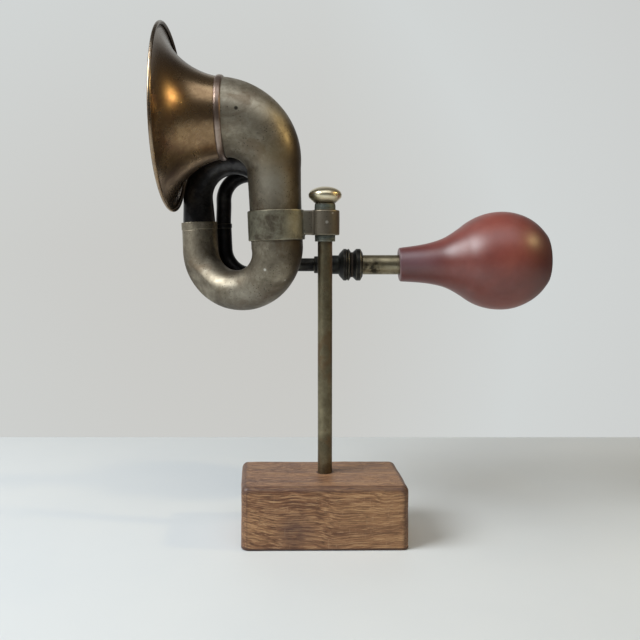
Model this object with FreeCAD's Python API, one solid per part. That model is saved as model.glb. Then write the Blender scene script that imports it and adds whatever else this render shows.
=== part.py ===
import FreeCAD, Part
import math
import os

# Bulb horn on a display stand: a coiled brass horn held by its band clamp on a brass rod, which
# stands in a rounded block of wood.  Millimetres.  +Z is up, the origin is on the underside of the
# block, on the rod's axis, the bell is on the -X side and the rubber bulb on the +X side.  The coil
# winds back from the bell towards +Y.

V = FreeCAD.Vector
X_AXIS = V(1, 0, 0)
Y_AXIS = V(0, 1, 0)
Z_AXIS = V(0, 0, 1)

FIT = 0.05              # radial clearance of a turning or sliding fit
FACE_GAP = 0.05         # gap between flat faces that turn or slide on each other

# ---- stand
BLOCK_HEIGHT = 51.7
BLOCK_PLAN = ((-66.5, -42.5), (67.0, -41.0), (61.8, 35.0), (-73.0, 34.0))    # hand cut, a little skew
BLOCK_CORNER = 5.0
BLOCK_EDGE = 5.0
ROD_R = 6.0
ROD_DEPTH = 38.0        # how far the rod goes into the block
ROD_SHOULDER_Z = 243.4
SPINDLE_R = 4.0         # turned-down top of the rod
SPINDLE_TOP_Z = 282.5

# ---- clamp stack on the spindle
COLLAR_R = 8.4
COLLAR_HEIGHT = 5.1
BOSS_R = 11.8
BOSS_TOP_Z = 268.6
ARM_HALF_WIDTH = 7.0
BAND_WALL = 2.0
BAND_GAP = 0.3          # the sheet tube is not quite round, so the band has room for it
BAND_HALF_HEIGHT = 12.0
CHAMFER = 0.8
SET_SCREW_R = 1.7
SET_SCREW_BEARING = 248.0    # degrees round the band from +X, seen from above
KNOB_R = 13.5
KNOB_HALF_HEIGHT = 6.9
KNOB_NECK_R = 7.8

# ---- horn frame: u along +X, w along +Z, turned about the centre of the band
BAND_X = -39.6
BAND_Z = 256.3
HORN_LEAN = 2.0         # degrees; the coil leans towards the bell
WALL = 0.8              # sheet brass

# ---- coil, in the horn frame: limbs at u, bends about a centre, tube outside radii
FRONT_Y, LEFT_Y, MIDDLE_Y, BACK_Y, STEM_Y = 0.0, 39.0, 39.0, 55.0, 59.0
LEFT_U = -68.6          # left limb of the big bend
MIDDLE_U = -5.7         # right limb of the second bend, at its top
MIDDLE_LOW_U = -1.4     # the same limb at its foot
BACK_U = -49.8          # left limb of the small bend
BACK_HIGH_U = -48.6     # the same limb at its top
INLET_U = -3.9          # last limb, down to the inlet
ELBOW_RADIUS = 41.5
ELBOW_W = 45.5
ELBOW_TURN = 89.1
LOW_FRONT_W = -18.2
HIGH_MIDDLE_W = 26.0
LOW_BACK_W = -17.2
HIGH_BACK_W = 24.5
LIMB_R = 21.0           # tube in the band
ELBOW_START_R = 21.7
BELL_NECK_R = 32.0
BIG_BEND_END_R = 15.2
SLIP_R = 14.1           # second tube where it slips into the first
MIDDLE_TOP_R = 12.6
MIDDLE_END_R = 9.9
MIDDLE_FOOT_R = 8.7
BACK_LOW_R = 6.9
BACK_TOP_R = 6.6
STEM_R = 5.85
JOINT_FRONT_W = 0.5     # slip joint on the left limb
JOINT_BACK_W = 2.5      # slip joint on the small left limb
JOINT_INLET_W = 0.0
SOLDER_GAP = 0.15       # round the tubes in the front slip joint

# ---- bell
BELL_LENGTH = 42.6
BELL_RIM_R = 72.3       # centre of the rolled bead
BELL_CONE_SHARE = 0.16  # part of the flare that is a plain cone
BELL_FLARE_END = 86.0   # degrees of the flare's quarter curve
BEAD_R = 1.5
RIM_WIRE_R = 0.85
BELL_WALL = 0.6
RING_R = 33.5
RING_HALF_WIDTH = 2.8

# ---- inlet, reed and union, along X at STEM_Y
STEM_Z = 223.4
INLET_BEND_R = 13.0
STEM_END_X = -1.5
SOCKET_START_X = -9.5
SOCKET_END_X = 23.5
SOCKET_R = 7.6
SHOULDER_R = 8.4
SHOULDER_X = (6.0, 12.4)
UNION_R = 14.2
UNION_CREST_X = (17.0, 21.7)    # widest part of the fixed ring
CREST_GROOVE_X = 20.1
CREST_GROOVE_DEPTH = 0.8
GROOVE_R = 11.35
GASKET = (23.55, 25.15)
NUT_CREST_X = (28.3, 31.9)
NUT_END_X = 33.9
NUT_END_R = 10.6
SPIGOT_R = 7.0
SPIGOT_START_X = 9.0
SOCKET_BORE_R = 5.3
REED_BORE_R = 5.0
REED_FLAT_Z = 1.0
REED_TIP_X = -4.0
REED_ROOT_X = 13.0
TONGUE = (16.5, 6.0, 0.35)      # length, width, thickness
TONGUE_LIFT = 2.5               # degrees that the tongue stands off the flat
BULB_TUBE_R = 8.65
BULB_TUBE_X = (29.0, 86.0)

# ---- rubber bulb, along its own axis from the mouth of its neck
BULB_X = 66.4
BULB_RISE = 2.2         # degrees
BULB_LENGTH = 131.8
NECK_R = 15.2
BELLY_S = 92.0
BELLY_R = 43.6
BELLY_NEAR = 51.6         # half lengths of the belly, towards the neck and towards the end
BELLY_FAR = 45.2
RUBBER = 3.2
PLUG_R = 13.9
PLUG_DEPTH = 5.0


def save(shape, name):
    """Write one sub-part, and say its volume."""
    solid = shape.removeSplitter()
    solid.exportStep("parts/" + name + ".step")
    print(f"{name:26s} valid {solid.isValid()}  solids {len(solid.Solids)}  {solid.Volume / 1000:8.3f} cm3")
    return solid


def turned(points, centre=V(0, 0, 0), axis=Z_AXIS):
    """Solid of revolution from (distance along the axis, radius) corners."""
    wire = Part.makePolygon([V(r, 0, s) for s, r in points] + [V(points[0][1], 0, points[0][0])])
    solid = Part.Face(wire).revolve(V(0, 0, 0), Z_AXIS, 360)
    solid.Placement = FreeCAD.Placement(centre, FreeCAD.Rotation(Z_AXIS, axis))
    return solid


def curved_turned(curve_points, centre, axis):
    """Solid of revolution under a smooth curve of (distance along the axis, radius) points."""
    curve = Part.BSplineCurve()
    curve.interpolate([V(r, 0, s) for s, r in curve_points])
    first, last = curve_points[0], curve_points[-1]
    corners = [V(last[1], 0, last[0]), V(0, 0, last[0]), V(0, 0, first[0]), V(first[1], 0, first[0])]
    wire = Part.Wire([curve.toShape()] + Part.makePolygon(corners).Edges)
    solid = Part.Face(wire).revolve(V(0, 0, 0), Z_AXIS, 360)
    solid.Placement = FreeCAD.Placement(centre, FreeCAD.Rotation(Z_AXIS, axis))
    return solid


def rod(radius, start, end, centre=V(0, 0, 0), axis=Z_AXIS):
    """Cylinder between two distances along an axis."""
    return Part.makeCylinder(radius, end - start, centre + axis * start, axis)


# ------------------------------------------------------------------ stand
def wood_base():
    corners = [V(x, y, 0) for x, y in BLOCK_PLAN]
    block = Part.Face(Part.makePolygon(corners + corners[:1])).extrude(V(0, 0, BLOCK_HEIGHT))
    upright = [e for e in block.Edges if abs(e.BoundBox.ZLength - BLOCK_HEIGHT) < 0.01]
    block = block.makeFillet(BLOCK_CORNER, upright)
    top = [e for e in block.Edges if e.BoundBox.ZMin > BLOCK_HEIGHT - 0.01]
    block = block.makeFillet(BLOCK_EDGE, top)
    return block.cut(rod(ROD_R + FIT, BLOCK_HEIGHT - ROD_DEPTH, BLOCK_HEIGHT + 1))


def stand_rod():
    return turned([(BLOCK_HEIGHT - ROD_DEPTH, 0), (BLOCK_HEIGHT - ROD_DEPTH, ROD_R),
                   (ROD_SHOULDER_Z, ROD_R), (ROD_SHOULDER_Z, SPINDLE_R),
                   (SPINDLE_TOP_Z - CHAMFER, SPINDLE_R), (SPINDLE_TOP_Z, SPINDLE_R - CHAMFER),
                   (SPINDLE_TOP_Z, 0)])


def collar(bottom, top, low_r, high_r):
    bore = SPINDLE_R + FIT
    return turned([(bottom, bore), (bottom, low_r - CHAMFER / 2), (bottom + CHAMFER / 2, low_r),
                   (top - CHAMFER / 2, high_r), (top, high_r - CHAMFER / 2), (top, bore)])


def finial_knob(bottom):
    """Flattened ball on a short neck, with a blind threaded bore."""
    middle = bottom + KNOB_HALF_HEIGHT
    start = math.asin(KNOB_NECK_R / KNOB_R)
    points = []
    for i in range(9):
        a = start + (math.pi - start) * i / 8
        points.append((middle - KNOB_HALF_HEIGHT * math.cos(a), KNOB_R * math.sin(a)))
    points[-1] = (points[-1][0], 0.0)
    curve = Part.BSplineCurve()
    curve.interpolate([V(r, 0, s) for s, r in points])
    foot = points[0][0]
    corners = [V(0, 0, points[-1][0]), V(0, 0, bottom), V(KNOB_NECK_R, 0, bottom), V(KNOB_NECK_R, 0, foot)]
    outline = Part.Wire([curve.toShape()] + Part.makePolygon(corners).Edges)
    ball = Part.Face(outline).revolve(V(0, 0, 0), Z_AXIS, 360)
    return ball.cut(rod(SPINDLE_R + FIT, bottom - 1, SPINDLE_TOP_Z + 0.5))


# ------------------------------------------------------------------ horn frame and coil
def into_horn(shape):
    """Move a shape drawn in the horn frame to its place on the stand."""
    place = FreeCAD.Placement(V(BAND_X, 0, BAND_Z), FreeCAD.Rotation(Y_AXIS, -HORN_LEAN))
    shape.Placement = place.multiply(shape.Placement)
    return shape


def ease(a, b, f):
    """Value between a and b that starts and ends level."""
    return a + (b - a) * (1 - math.cos(math.pi * f)) / 2


def limb(start, end):
    """Path from one (u, y, w) point to another, upright at both ends."""
    def at(f):
        return V(ease(start[0], end[0], f), ease(start[1], end[1], f), start[2] + (end[2] - start[2]) * f)
    return at


def bend(centre_u, centre_w, radius, start, turn, y_start, y_end):
    """Path round a centre in the u-w plane, from an angle through a turn, drifting in y."""
    def at(f):
        a = math.radians(start + turn * f)
        return V(centre_u + radius * math.cos(a), ease(y_start, y_end, f), centre_w + radius * math.sin(a))
    return at


def section(path, f, radius):
    """Circle square to the path."""
    step = 1e-4
    along = path(f + step) - path(f - step)
    along.normalize()
    side = Y_AXIS - along * along.y
    side.normalize()
    wire = Part.Wire(Part.makeCircle(radius))
    wire.Placement = FreeCAD.Placement(path(f), FreeCAD.Rotation(side, along.cross(side), along, "ZXY"))
    return wire


def loft(runs, inset):
    """Solid through circles along runs of (path, start radius, end radius, swell, steps)."""
    sections = []
    for path, r_start, r_end, swell, steps in runs:
        first = 0 if not sections else 1
        for i in range(first, steps + 1):
            f = i / steps
            radius = r_start + (r_end - r_start) * f + swell * 4 * f * (1 - f)
            sections.append(section(path, f, radius - inset))
    return Part.makeLoft(sections, True, False)


def tube(runs):
    """Outer solid and hollow tube of sheet brass, in place."""
    outer = loft(runs, 0)
    hollow = outer.cut(loft(runs, WALL))
    return into_horn(outer), into_horn(hollow)


def mid(a, b):
    return (a + b) / 2


def elbow_runs():
    return [(limb((0, FRONT_Y, 0), (0, FRONT_Y, ELBOW_W)), LIMB_R, ELBOW_START_R, -0.2, 5),
            (bend(-ELBOW_RADIUS, ELBOW_W, ELBOW_RADIUS, 0, ELBOW_TURN, FRONT_Y, FRONT_Y),
             ELBOW_START_R, BELL_NECK_R, 0.9, 10)]


def big_bend_runs():
    under = arch(0, LEFT_U, LOW_FRONT_W, 0, FRONT_Y, LEFT_Y)
    return [(limb((0, FRONT_Y, 0), (0, FRONT_Y, LOW_FRONT_W)), LIMB_R, LIMB_R, 0, 2),
            (under, LIMB_R, BIG_BEND_END_R, -1.2, 16),
            (limb((LEFT_U, LEFT_Y, LOW_FRONT_W), (LEFT_U, LEFT_Y, JOINT_FRONT_W)),
             BIG_BEND_END_R, SLIP_R + WALL, 0, 3)]


def arch(u_start, u_end, w, start, y_start, y_end):
    """Half-circle bend from one limb to the next; it starts at 180 degrees over the top, or 0 below."""
    return bend(mid(u_start, u_end), w, abs(u_start - u_end) / 2, start, -180, y_start, y_end)


def middle_bend_runs():
    joint, top = (LEFT_U, LEFT_Y, JOINT_FRONT_W), (LEFT_U, LEFT_Y, HIGH_MIDDLE_W)
    right, foot = (MIDDLE_U, MIDDLE_Y, HIGH_MIDDLE_W), (MIDDLE_LOW_U, MIDDLE_Y, LOW_BACK_W)
    over = arch(LEFT_U, MIDDLE_U, HIGH_MIDDLE_W, 180, LEFT_Y, MIDDLE_Y)
    return [(limb(joint, top), SLIP_R, MIDDLE_TOP_R, 0, 4),
            (over, MIDDLE_TOP_R, MIDDLE_END_R, 0.2, 14),
            (limb(right, foot), MIDDLE_END_R, MIDDLE_FOOT_R, 0, 6)]


def back_low_runs():
    under = arch(MIDDLE_LOW_U, BACK_U, LOW_BACK_W, 0, MIDDLE_Y, BACK_Y)
    foot, joint = (BACK_U, BACK_Y, LOW_BACK_W), (BACK_U, BACK_Y, JOINT_BACK_W)
    return [(under, MIDDLE_FOOT_R, BACK_LOW_R, 0, 14), (limb(foot, joint), BACK_LOW_R, BACK_LOW_R, 0, 3)]


def back_high_runs():
    joint, top = (BACK_U, BACK_Y, JOINT_BACK_W), (BACK_HIGH_U, BACK_Y, HIGH_BACK_W)
    right, foot = (INLET_U, STEM_Y, HIGH_BACK_W), (INLET_U, STEM_Y, JOINT_INLET_W)
    over = arch(BACK_HIGH_U, INLET_U, HIGH_BACK_W, 180, BACK_Y, STEM_Y)
    return [(limb(joint, top), BACK_TOP_R, BACK_TOP_R, 0, 3),
            (over, BACK_TOP_R, STEM_R, 0, 14),
            (limb(right, foot), STEM_R, STEM_R, 0, 3)]


def inlet_elbow():
    """Down the last limb, then round to point along +X at the height of the stem."""
    turn = 90 - HORN_LEAN
    end = math.radians(180 + turn)
    lean = math.radians(HORN_LEAN)
    end_u = INLET_U + INLET_BEND_R + INLET_BEND_R * math.cos(end)
    end_w = (STEM_Z - BAND_Z - end_u * math.sin(lean)) / math.cos(lean)
    centre_w = end_w - INLET_BEND_R * math.sin(end)
    path = bend(INLET_U + INLET_BEND_R, centre_w, INLET_BEND_R, 180, turn, STEM_Y, STEM_Y)
    start = V(INLET_U, STEM_Y, JOINT_INLET_W)
    spine = Part.Wire([Part.makeLine(start, path(0)), Part.Arc(path(0), path(0.5), path(1)).toShape()])
    pipes = [spine.makePipeShell([Part.Wire(Part.makeCircle(r, start, Z_AXIS))], True, False)
             for r in (STEM_R, STEM_R - WALL)]
    return into_horn(pipes[0].copy()), into_horn(pipes[0].cut(pipes[1]))


def ferrule(u, y, w_low, w_high, radius, tubes):
    """Sleeve over a slip joint, bored out by what it holds."""
    sleeve = turned([(w_low, 0), (w_low, radius - 0.4), (w_low + 0.6, radius), (w_high - 0.6, radius),
                     (w_high, radius - 0.6), (w_high, 0)], V(u, y, 0))
    sleeve = into_horn(sleeve)
    for outer in tubes:
        sleeve = sleeve.cut(outer)
    return sleeve


def front_slip_core(w_high):
    """The straight ends of the first two tubes on the left limb, with a solder gap round them."""
    taper = (SLIP_R - MIDDLE_TOP_R) / (HIGH_MIDDLE_W - JOINT_FRONT_W)
    wide, narrow = SLIP_R + WALL + SOLDER_GAP, SLIP_R + SOLDER_GAP
    low, high = JOINT_FRONT_W - 2, w_high + 1
    core = turned([(low, 0), (low, wide), (JOINT_FRONT_W, wide), (JOINT_FRONT_W, narrow),
                   (high, narrow - taper * (high - JOINT_FRONT_W)), (high, 0)], V(LEFT_U, LEFT_Y, 0))
    return into_horn(core)


# ------------------------------------------------------------------ bell
def bell_place():
    a = math.radians(ELBOW_TURN)
    neck = V(-ELBOW_RADIUS + ELBOW_RADIUS * math.cos(a), FRONT_Y, ELBOW_W + ELBOW_RADIUS * math.sin(a))
    return neck, V(-math.sin(a), 0, math.cos(a))


def flare(inset):
    """Outline of the bell from neck to rim, set in by a wall thickness."""
    last = math.radians(BELL_FLARE_END)
    share = BELL_CONE_SHARE * math.sin(last) + (1 - BELL_CONE_SHARE) * (1 - math.cos(last))
    rise = (BELL_RIM_R - BEAD_R / 2 - BELL_NECK_R) / share
    points = []
    for i in range(13):
        a = last * i / 12
        s = BELL_LENGTH * math.sin(a)
        r = BELL_NECK_R + rise * (BELL_CONE_SHARE * math.sin(a) + (1 - BELL_CONE_SHARE) * (1 - math.cos(a)))
        ds = BELL_LENGTH * math.cos(a)
        dr = rise * (BELL_CONE_SHARE * math.cos(a) + (1 - BELL_CONE_SHARE) * math.sin(a))
        size = math.hypot(ds, dr)
        points.append(V(r - inset * ds / size, 0, s + inset * dr / size if i else 0.0))
    return points


def bell():
    outside, inside = flare(0), flare(BELL_WALL)
    curves = []
    for points in (outside, inside):
        curve = Part.BSplineCurve()
        curve.interpolate(points)
        curves.append(curve.toShape())
    ends = [Part.makeLine(outside[-1], inside[-1]), Part.makeLine(inside[0], outside[0])]
    sheet = Part.Face(Part.Wire(Part.__sortEdges__(curves + ends))).revolve(V(0, 0, 0), Z_AXIS, 360)
    rim = V(BELL_RIM_R, 0, inside[-1].z - BEAD_R)
    bead = Part.makeTorus(rim.x, BEAD_R, V(0, 0, rim.z))
    bead = bead.fuse(sheet).cut(Part.makeTorus(rim.x, RIM_WIRE_R, V(0, 0, rim.z)))
    wire = Part.makeTorus(rim.x, RIM_WIRE_R, V(0, 0, rim.z))
    return bead, wire


def bell_ring(tubes):
    """Half-round bead over the joint between elbow and bell."""
    points = []
    for i in range(9):
        a = math.pi * i / 8
        points.append((-0.6 - RING_HALF_WIDTH * math.cos(a), RING_R - 1.6 + 1.6 * math.sin(a)))
    neck, axis = bell_place()
    ring = into_horn(turned([(points[0][0], 30)] + points + [(points[-1][0], 30)], neck, axis))
    for solid in tubes:
        ring = ring.cut(solid)
    return max(ring.Solids, key=lambda piece: piece.Volume)


# ------------------------------------------------------------------ clamp
def clamp_bracket(screw_hole):
    lug_low = ROD_SHOULDER_Z + COLLAR_HEIGHT + FACE_GAP
    height = BAND_HALF_HEIGHT
    outer = LIMB_R + BAND_WALL
    band = into_horn(turned([(-height, 0), (-height, outer - CHAMFER), (CHAMFER - height, outer),
                             (height - CHAMFER, outer), (height, outer - CHAMFER), (height, 0)]))
    boss = turned([(lug_low, 0), (lug_low, BOSS_R - CHAMFER), (lug_low + CHAMFER, BOSS_R),
                   (BOSS_TOP_Z - CHAMFER, BOSS_R), (BOSS_TOP_Z, BOSS_R - CHAMFER), (BOSS_TOP_Z, 0)])
    arm = Part.makeBox(-BAND_X, 2 * ARM_HALF_WIDTH, BOSS_TOP_Z - lug_low - 0.6,
                       V(BAND_X, -ARM_HALF_WIDTH, lug_low + 0.3))
    bore = into_horn(rod(LIMB_R + BAND_GAP, -height - 10, height + 10))
    eye = rod(SPINDLE_R + FIT, lug_low - 1, BOSS_TOP_Z + 1)
    return band.fuse(arm).fuse(boss).cut(bore).cut(eye).cut(screw_hole)


def clamp_set_screw():
    a = math.radians(SET_SCREW_BEARING)
    axis = V(math.cos(a), math.sin(a), 0)
    screw = rod(SET_SCREW_R, LIMB_R + BAND_GAP, LIMB_R + BAND_WALL + 0.1, V(0, 0, -2), axis)
    shank = rod(SET_SCREW_R, LIMB_R - 1, LIMB_R + BAND_WALL + 1, V(0, 0, -2), axis)
    band = into_horn(rod(LIMB_R + BAND_GAP, -BAND_HALF_HEIGHT, BAND_HALF_HEIGHT))
    return into_horn(screw).cut(band), into_horn(shank)


# ------------------------------------------------------------------ reed fitting and bulb
STEM = V(0, STEM_Y, STEM_Z)


def along_stem(points):
    return turned(points, STEM, X_AXIS)


def inlet_stem(start):
    inner = STEM_R - WALL
    return along_stem([(start, inner), (start, STEM_R), (STEM_END_X, STEM_R), (STEM_END_X, inner)])


def reed_socket():
    """Socket soldered on the stem, with the union's fixed half at its mouth."""
    bore, floor = SPIGOT_R + FIT, SPIGOT_START_X - 0.4
    outside = [(SOCKET_START_X, SOCKET_R - 0.6), (SOCKET_START_X + 0.6, SOCKET_R),
               (SHOULDER_X[0] - 0.6, SOCKET_R), (SHOULDER_X[0], SHOULDER_R), (SHOULDER_X[1], SHOULDER_R),
               (SHOULDER_X[1] + 0.9, SHOULDER_R + 1.8), (UNION_CREST_X[0], UNION_R),
               (CREST_GROOVE_X - 0.5, UNION_R), (CREST_GROOVE_X, UNION_R - CREST_GROOVE_DEPTH),
               (CREST_GROOVE_X + 0.5, UNION_R), (UNION_CREST_X[1], UNION_R), (SOCKET_END_X, GROOVE_R)]
    inside = [(SOCKET_END_X, bore), (floor, bore), (floor, SOCKET_BORE_R), (STEM_END_X, SOCKET_BORE_R),
              (STEM_END_X, STEM_R + FIT), (SOCKET_START_X, STEM_R + FIT)]
    return along_stem(outside + inside)


def union_gasket():
    return along_stem([(GASKET[0], SPIGOT_R + 2 * FIT), (GASKET[0], GROOVE_R), (GASKET[1], GROOVE_R),
                       (GASKET[1], SPIGOT_R + 2 * FIT)])


def union_nut():
    """Loose half of the union: spigot into the socket, milled ring, seat for the bulb's tube."""
    start = GASKET[1] + FACE_GAP
    seat = BULB_TUBE_R + FIT
    return along_stem([(SPIGOT_START_X, REED_BORE_R), (SPIGOT_START_X, SPIGOT_R), (start, SPIGOT_R),
                       (start, GROOVE_R), (NUT_CREST_X[0], UNION_R), (NUT_CREST_X[1], UNION_R),
                       (NUT_END_X, NUT_END_R), (NUT_END_X, seat), (BULB_TUBE_X[0], seat),
                       (BULB_TUBE_X[0], REED_BORE_R)])


def reed_shallot():
    """Round plug with a flat-topped hollow trough that the tongue beats on."""
    plug = along_stem([(REED_ROOT_X - 1, 0), (REED_ROOT_X - 1, REED_BORE_R), (23, REED_BORE_R), (23, 0)])
    trough = along_stem([(REED_TIP_X, 0), (REED_TIP_X, 4.2), (REED_ROOT_X, 4.2), (REED_ROOT_X, 0)])
    above = Part.makeBox(21.5, 12, 6, V(REED_TIP_X - 1, STEM_Y - 6, STEM_Z + REED_FLAT_Z))
    channel = rod(2.2, REED_TIP_X + 1, 24, STEM, X_AXIS)
    slot = Part.makeBox(13, 3, 3, V(REED_TIP_X + 1.5, STEM_Y - 1.5, STEM_Z))
    return plug.fuse(trough).cut(above).cut(channel).cut(slot)


def reed_tongue():
    length, width, thick = TONGUE
    strip = Part.makeBox(length, width, thick, V(REED_ROOT_X + 1 - length, STEM_Y - width / 2,
                                                 STEM_Z + REED_FLAT_Z + 0.1))
    strip.rotate(V(REED_ROOT_X, STEM_Y, STEM_Z + REED_FLAT_Z + 0.1 + thick / 2), Y_AXIS, TONGUE_LIFT)
    return strip


def reed_wedge():
    """Segment that holds the tongue's root down on the flat."""
    barrel = rod(REED_BORE_R - FIT, REED_ROOT_X - 0.8, 16.3, STEM, X_AXIS)
    below = Part.makeBox(20, 12, 12, V(0, STEM_Y - 6, STEM_Z + REED_FLAT_Z + 0.75 - 12))
    foot = Part.makeBox(1.8, 6, 0.75, V(14.5, STEM_Y - 3, STEM_Z + REED_FLAT_Z))
    return barrel.cut(below).fuse(foot)


def bulb_tube():
    start, end = BULB_TUBE_X
    return along_stem([(start, BULB_TUBE_R - WALL), (start, BULB_TUBE_R), (end - 0.6, BULB_TUBE_R),
                       (end, BULB_TUBE_R - 0.6), (end, BULB_TUBE_R - WALL)])


def bulb_axis():
    a = math.radians(BULB_RISE)
    return V(math.cos(a), 0, math.sin(a))


def bulb_outline(inset):
    """Neck that swells slowly, then the belly's ellipse, down to the flat end."""
    if inset:
        points = [(28.0, 9.5), (36.0, 15.0), (45.0, 20.6)]
        last = BULB_LENGTH - PLUG_DEPTH - 0.6
    else:
        points = [(0.0, NECK_R - 2.0), (1.6, NECK_R - 0.3), (5.0, NECK_R + 0.2), (16.0, NECK_R + 1.3),
                  (27.0, NECK_R + 3.0), (38.0, NECK_R + 5.9), (46.0, NECK_R + 9.6)]
        last = BULB_LENGTH
    first_s = 56.0
    for i in range(9):
        s = first_s + (last - first_s) * math.sin(math.pi / 2 * i / 8)
        half = BELLY_NEAR if s < BELLY_S else BELLY_FAR
        r = BELLY_R * math.sqrt(1 - ((s - BELLY_S) / half) ** 2)
        points.append((s, r - inset))
    return points


def rubber_bulb():
    mouth = V(BULB_X, STEM_Y, STEM_Z)
    body = curved_turned(bulb_outline(0), mouth, bulb_axis())
    cavity = curved_turned(bulb_outline(RUBBER), mouth, bulb_axis())
    neck_bore = rod(BULB_TUBE_R + FIT, BULB_X - 5, BULB_X + 34, STEM, X_AXIS)
    plug_hole = rod(PLUG_R + FIT, BULB_LENGTH - PLUG_DEPTH - 2, BULB_LENGTH + 1, mouth, bulb_axis())
    return body.cut(cavity).cut(neck_bore).cut(plug_hole)


def bulb_end_plug():
    mouth = V(BULB_X, STEM_Y, STEM_Z)
    end = BULB_LENGTH - 0.5
    start = end - PLUG_DEPTH
    outline = [(start, 0), (start, PLUG_R), (end - 1, PLUG_R), (end, PLUG_R - 1), (end, 0)]
    return turned(outline, mouth, bulb_axis())


# ------------------------------------------------------------------ build
def main():
    os.makedirs("parts", exist_ok=True)
    boss_low = ROD_SHOULDER_Z + COLLAR_HEIGHT
    collar_low = BOSS_TOP_Z + FACE_GAP
    save(wood_base(), "wood_base")
    save(stand_rod(), "stand_rod")
    save(collar(ROD_SHOULDER_Z, boss_low, COLLAR_R - 0.1, COLLAR_R - 0.1), "lower_collar")
    save(collar(collar_low, collar_low + COLLAR_HEIGHT, COLLAR_R + 0.2, COLLAR_R - 0.1), "upper_collar")
    save(finial_knob(collar_low + COLLAR_HEIGHT + FACE_GAP), "finial_knob")

    screw, screw_hole = clamp_set_screw()
    save(clamp_bracket(screw_hole), "clamp_bracket")
    save(screw, "clamp_set_screw")

    elbow_solid, elbow = tube(elbow_runs())
    big_solid, big = tube(big_bend_runs())
    middle_solid, middle = tube(middle_bend_runs())
    low_solid, low = tube(back_low_runs())
    high_solid, high = tube(back_high_runs())
    inlet_solid, inlet = inlet_elbow()
    save(elbow, "tube_bell_elbow")
    save(big, "tube_lower_bend_front")
    save(middle, "tube_upper_bend_middle")
    save(low, "tube_lower_bend_back")
    save(high, "tube_upper_bend_back")
    save(inlet, "tube_inlet_elbow")

    front_high = JOINT_FRONT_W + 6
    save(ferrule(LEFT_U, LEFT_Y, JOINT_FRONT_W - 0.5, front_high, SLIP_R + WALL + 0.5,
                 [front_slip_core(front_high)]), "ferrule_front")
    save(ferrule(MIDDLE_LOW_U, MIDDLE_Y, LOW_BACK_W + 0.5, LOW_BACK_W + 5.5, MIDDLE_FOOT_R + 0.9,
                 [middle_solid, low_solid]), "ferrule_middle")
    save(ferrule(BACK_U, BACK_Y, JOINT_BACK_W - 1.5, JOINT_BACK_W + 2.5, BACK_LOW_R + 0.5,
                 [low_solid, high_solid]), "ferrule_back")
    save(ferrule(INLET_U, STEM_Y, JOINT_INLET_W - 2.5, JOINT_INLET_W + 2.5, STEM_R + 0.8,
                 [high_solid, inlet_solid]), "ferrule_inlet")

    neck, axis = bell_place()
    horn_bell, rim_wire = bell()
    for shape in (horn_bell, rim_wire):
        shape.Placement = FreeCAD.Placement(neck, FreeCAD.Rotation(Z_AXIS, axis)).multiply(shape.Placement)
        into_horn(shape)
    save(horn_bell, "bell")
    save(rim_wire, "bell_rim_wire")
    save(bell_ring([horn_bell, elbow_solid]), "bell_ring")

    save(inlet_stem(inlet.BoundBox.XMax), "inlet_stem")
    save(reed_socket(), "reed_socket")
    save(union_gasket(), "union_gasket")
    save(union_nut(), "union_nut")
    save(reed_shallot(), "reed_shallot")
    save(reed_wedge(), "reed_wedge")
    save(reed_tongue(), "reed_tongue")
    save(bulb_tube(), "bulb_tube")
    save(rubber_bulb(), "rubber_bulb")
    save(bulb_end_plug(), "bulb_end_plug")


main()
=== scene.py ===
from math import cos, hypot, pi, radians, sin, sqrt, tan

import bmesh
import bpy
from mathutils import Matrix, Vector, noise


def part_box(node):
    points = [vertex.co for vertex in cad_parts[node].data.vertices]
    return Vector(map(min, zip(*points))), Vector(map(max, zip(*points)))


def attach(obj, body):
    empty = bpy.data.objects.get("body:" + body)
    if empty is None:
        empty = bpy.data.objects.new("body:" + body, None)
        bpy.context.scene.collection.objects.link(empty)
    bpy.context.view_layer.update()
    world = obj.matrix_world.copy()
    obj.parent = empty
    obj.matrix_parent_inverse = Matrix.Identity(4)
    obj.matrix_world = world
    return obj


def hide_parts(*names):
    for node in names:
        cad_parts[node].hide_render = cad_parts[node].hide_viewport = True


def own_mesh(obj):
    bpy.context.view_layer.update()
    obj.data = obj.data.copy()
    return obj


# Looks of the bulb horn on its display stand.  Lengths are millimetres, as in part.py, and MM turns
# them into metres where a mesh is made.  Pieces that replace a CAD node repeat its driving sizes.

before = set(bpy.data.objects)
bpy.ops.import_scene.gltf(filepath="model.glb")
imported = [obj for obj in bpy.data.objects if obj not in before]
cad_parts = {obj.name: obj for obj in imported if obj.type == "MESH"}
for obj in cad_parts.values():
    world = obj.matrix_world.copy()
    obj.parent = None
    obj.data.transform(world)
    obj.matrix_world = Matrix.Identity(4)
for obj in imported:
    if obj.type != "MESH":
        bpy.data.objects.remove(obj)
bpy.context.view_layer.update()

MM = 0.001
X_AXIS, Y_AXIS, Z_AXIS = Vector((1, 0, 0)), Vector((0, 1, 0)), Vector((0, 0, 1))

# ---- stand and clamp
BLOCK_HEIGHT = 51.7
BLOCK_PLAN = ((-66.5, -42.5), (67.0, -41.0), (61.8, 35.0), (-73.0, 34.0))
ROD_R = 6.0
ROD_DEPTH = 38.0
ROD_SHOULDER_Z = 243.4
SPINDLE_R = 4.0
SPINDLE_TOP_Z = 282.5
COLLAR_R = 8.4
COLLAR_HEIGHT = 5.1
BOSS_R = 11.8
BOSS_TOP_Z = 268.6
ARM_HALF_WIDTH = 7.0
BAND_WALL = 2.0
BAND_GAP = 0.3
BAND_HALF_HEIGHT = 12.0
KNOB_R = 13.5
KNOB_HALF_HEIGHT = 6.9
KNOB_NECK_R = 7.8
FIT = 0.05

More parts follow.
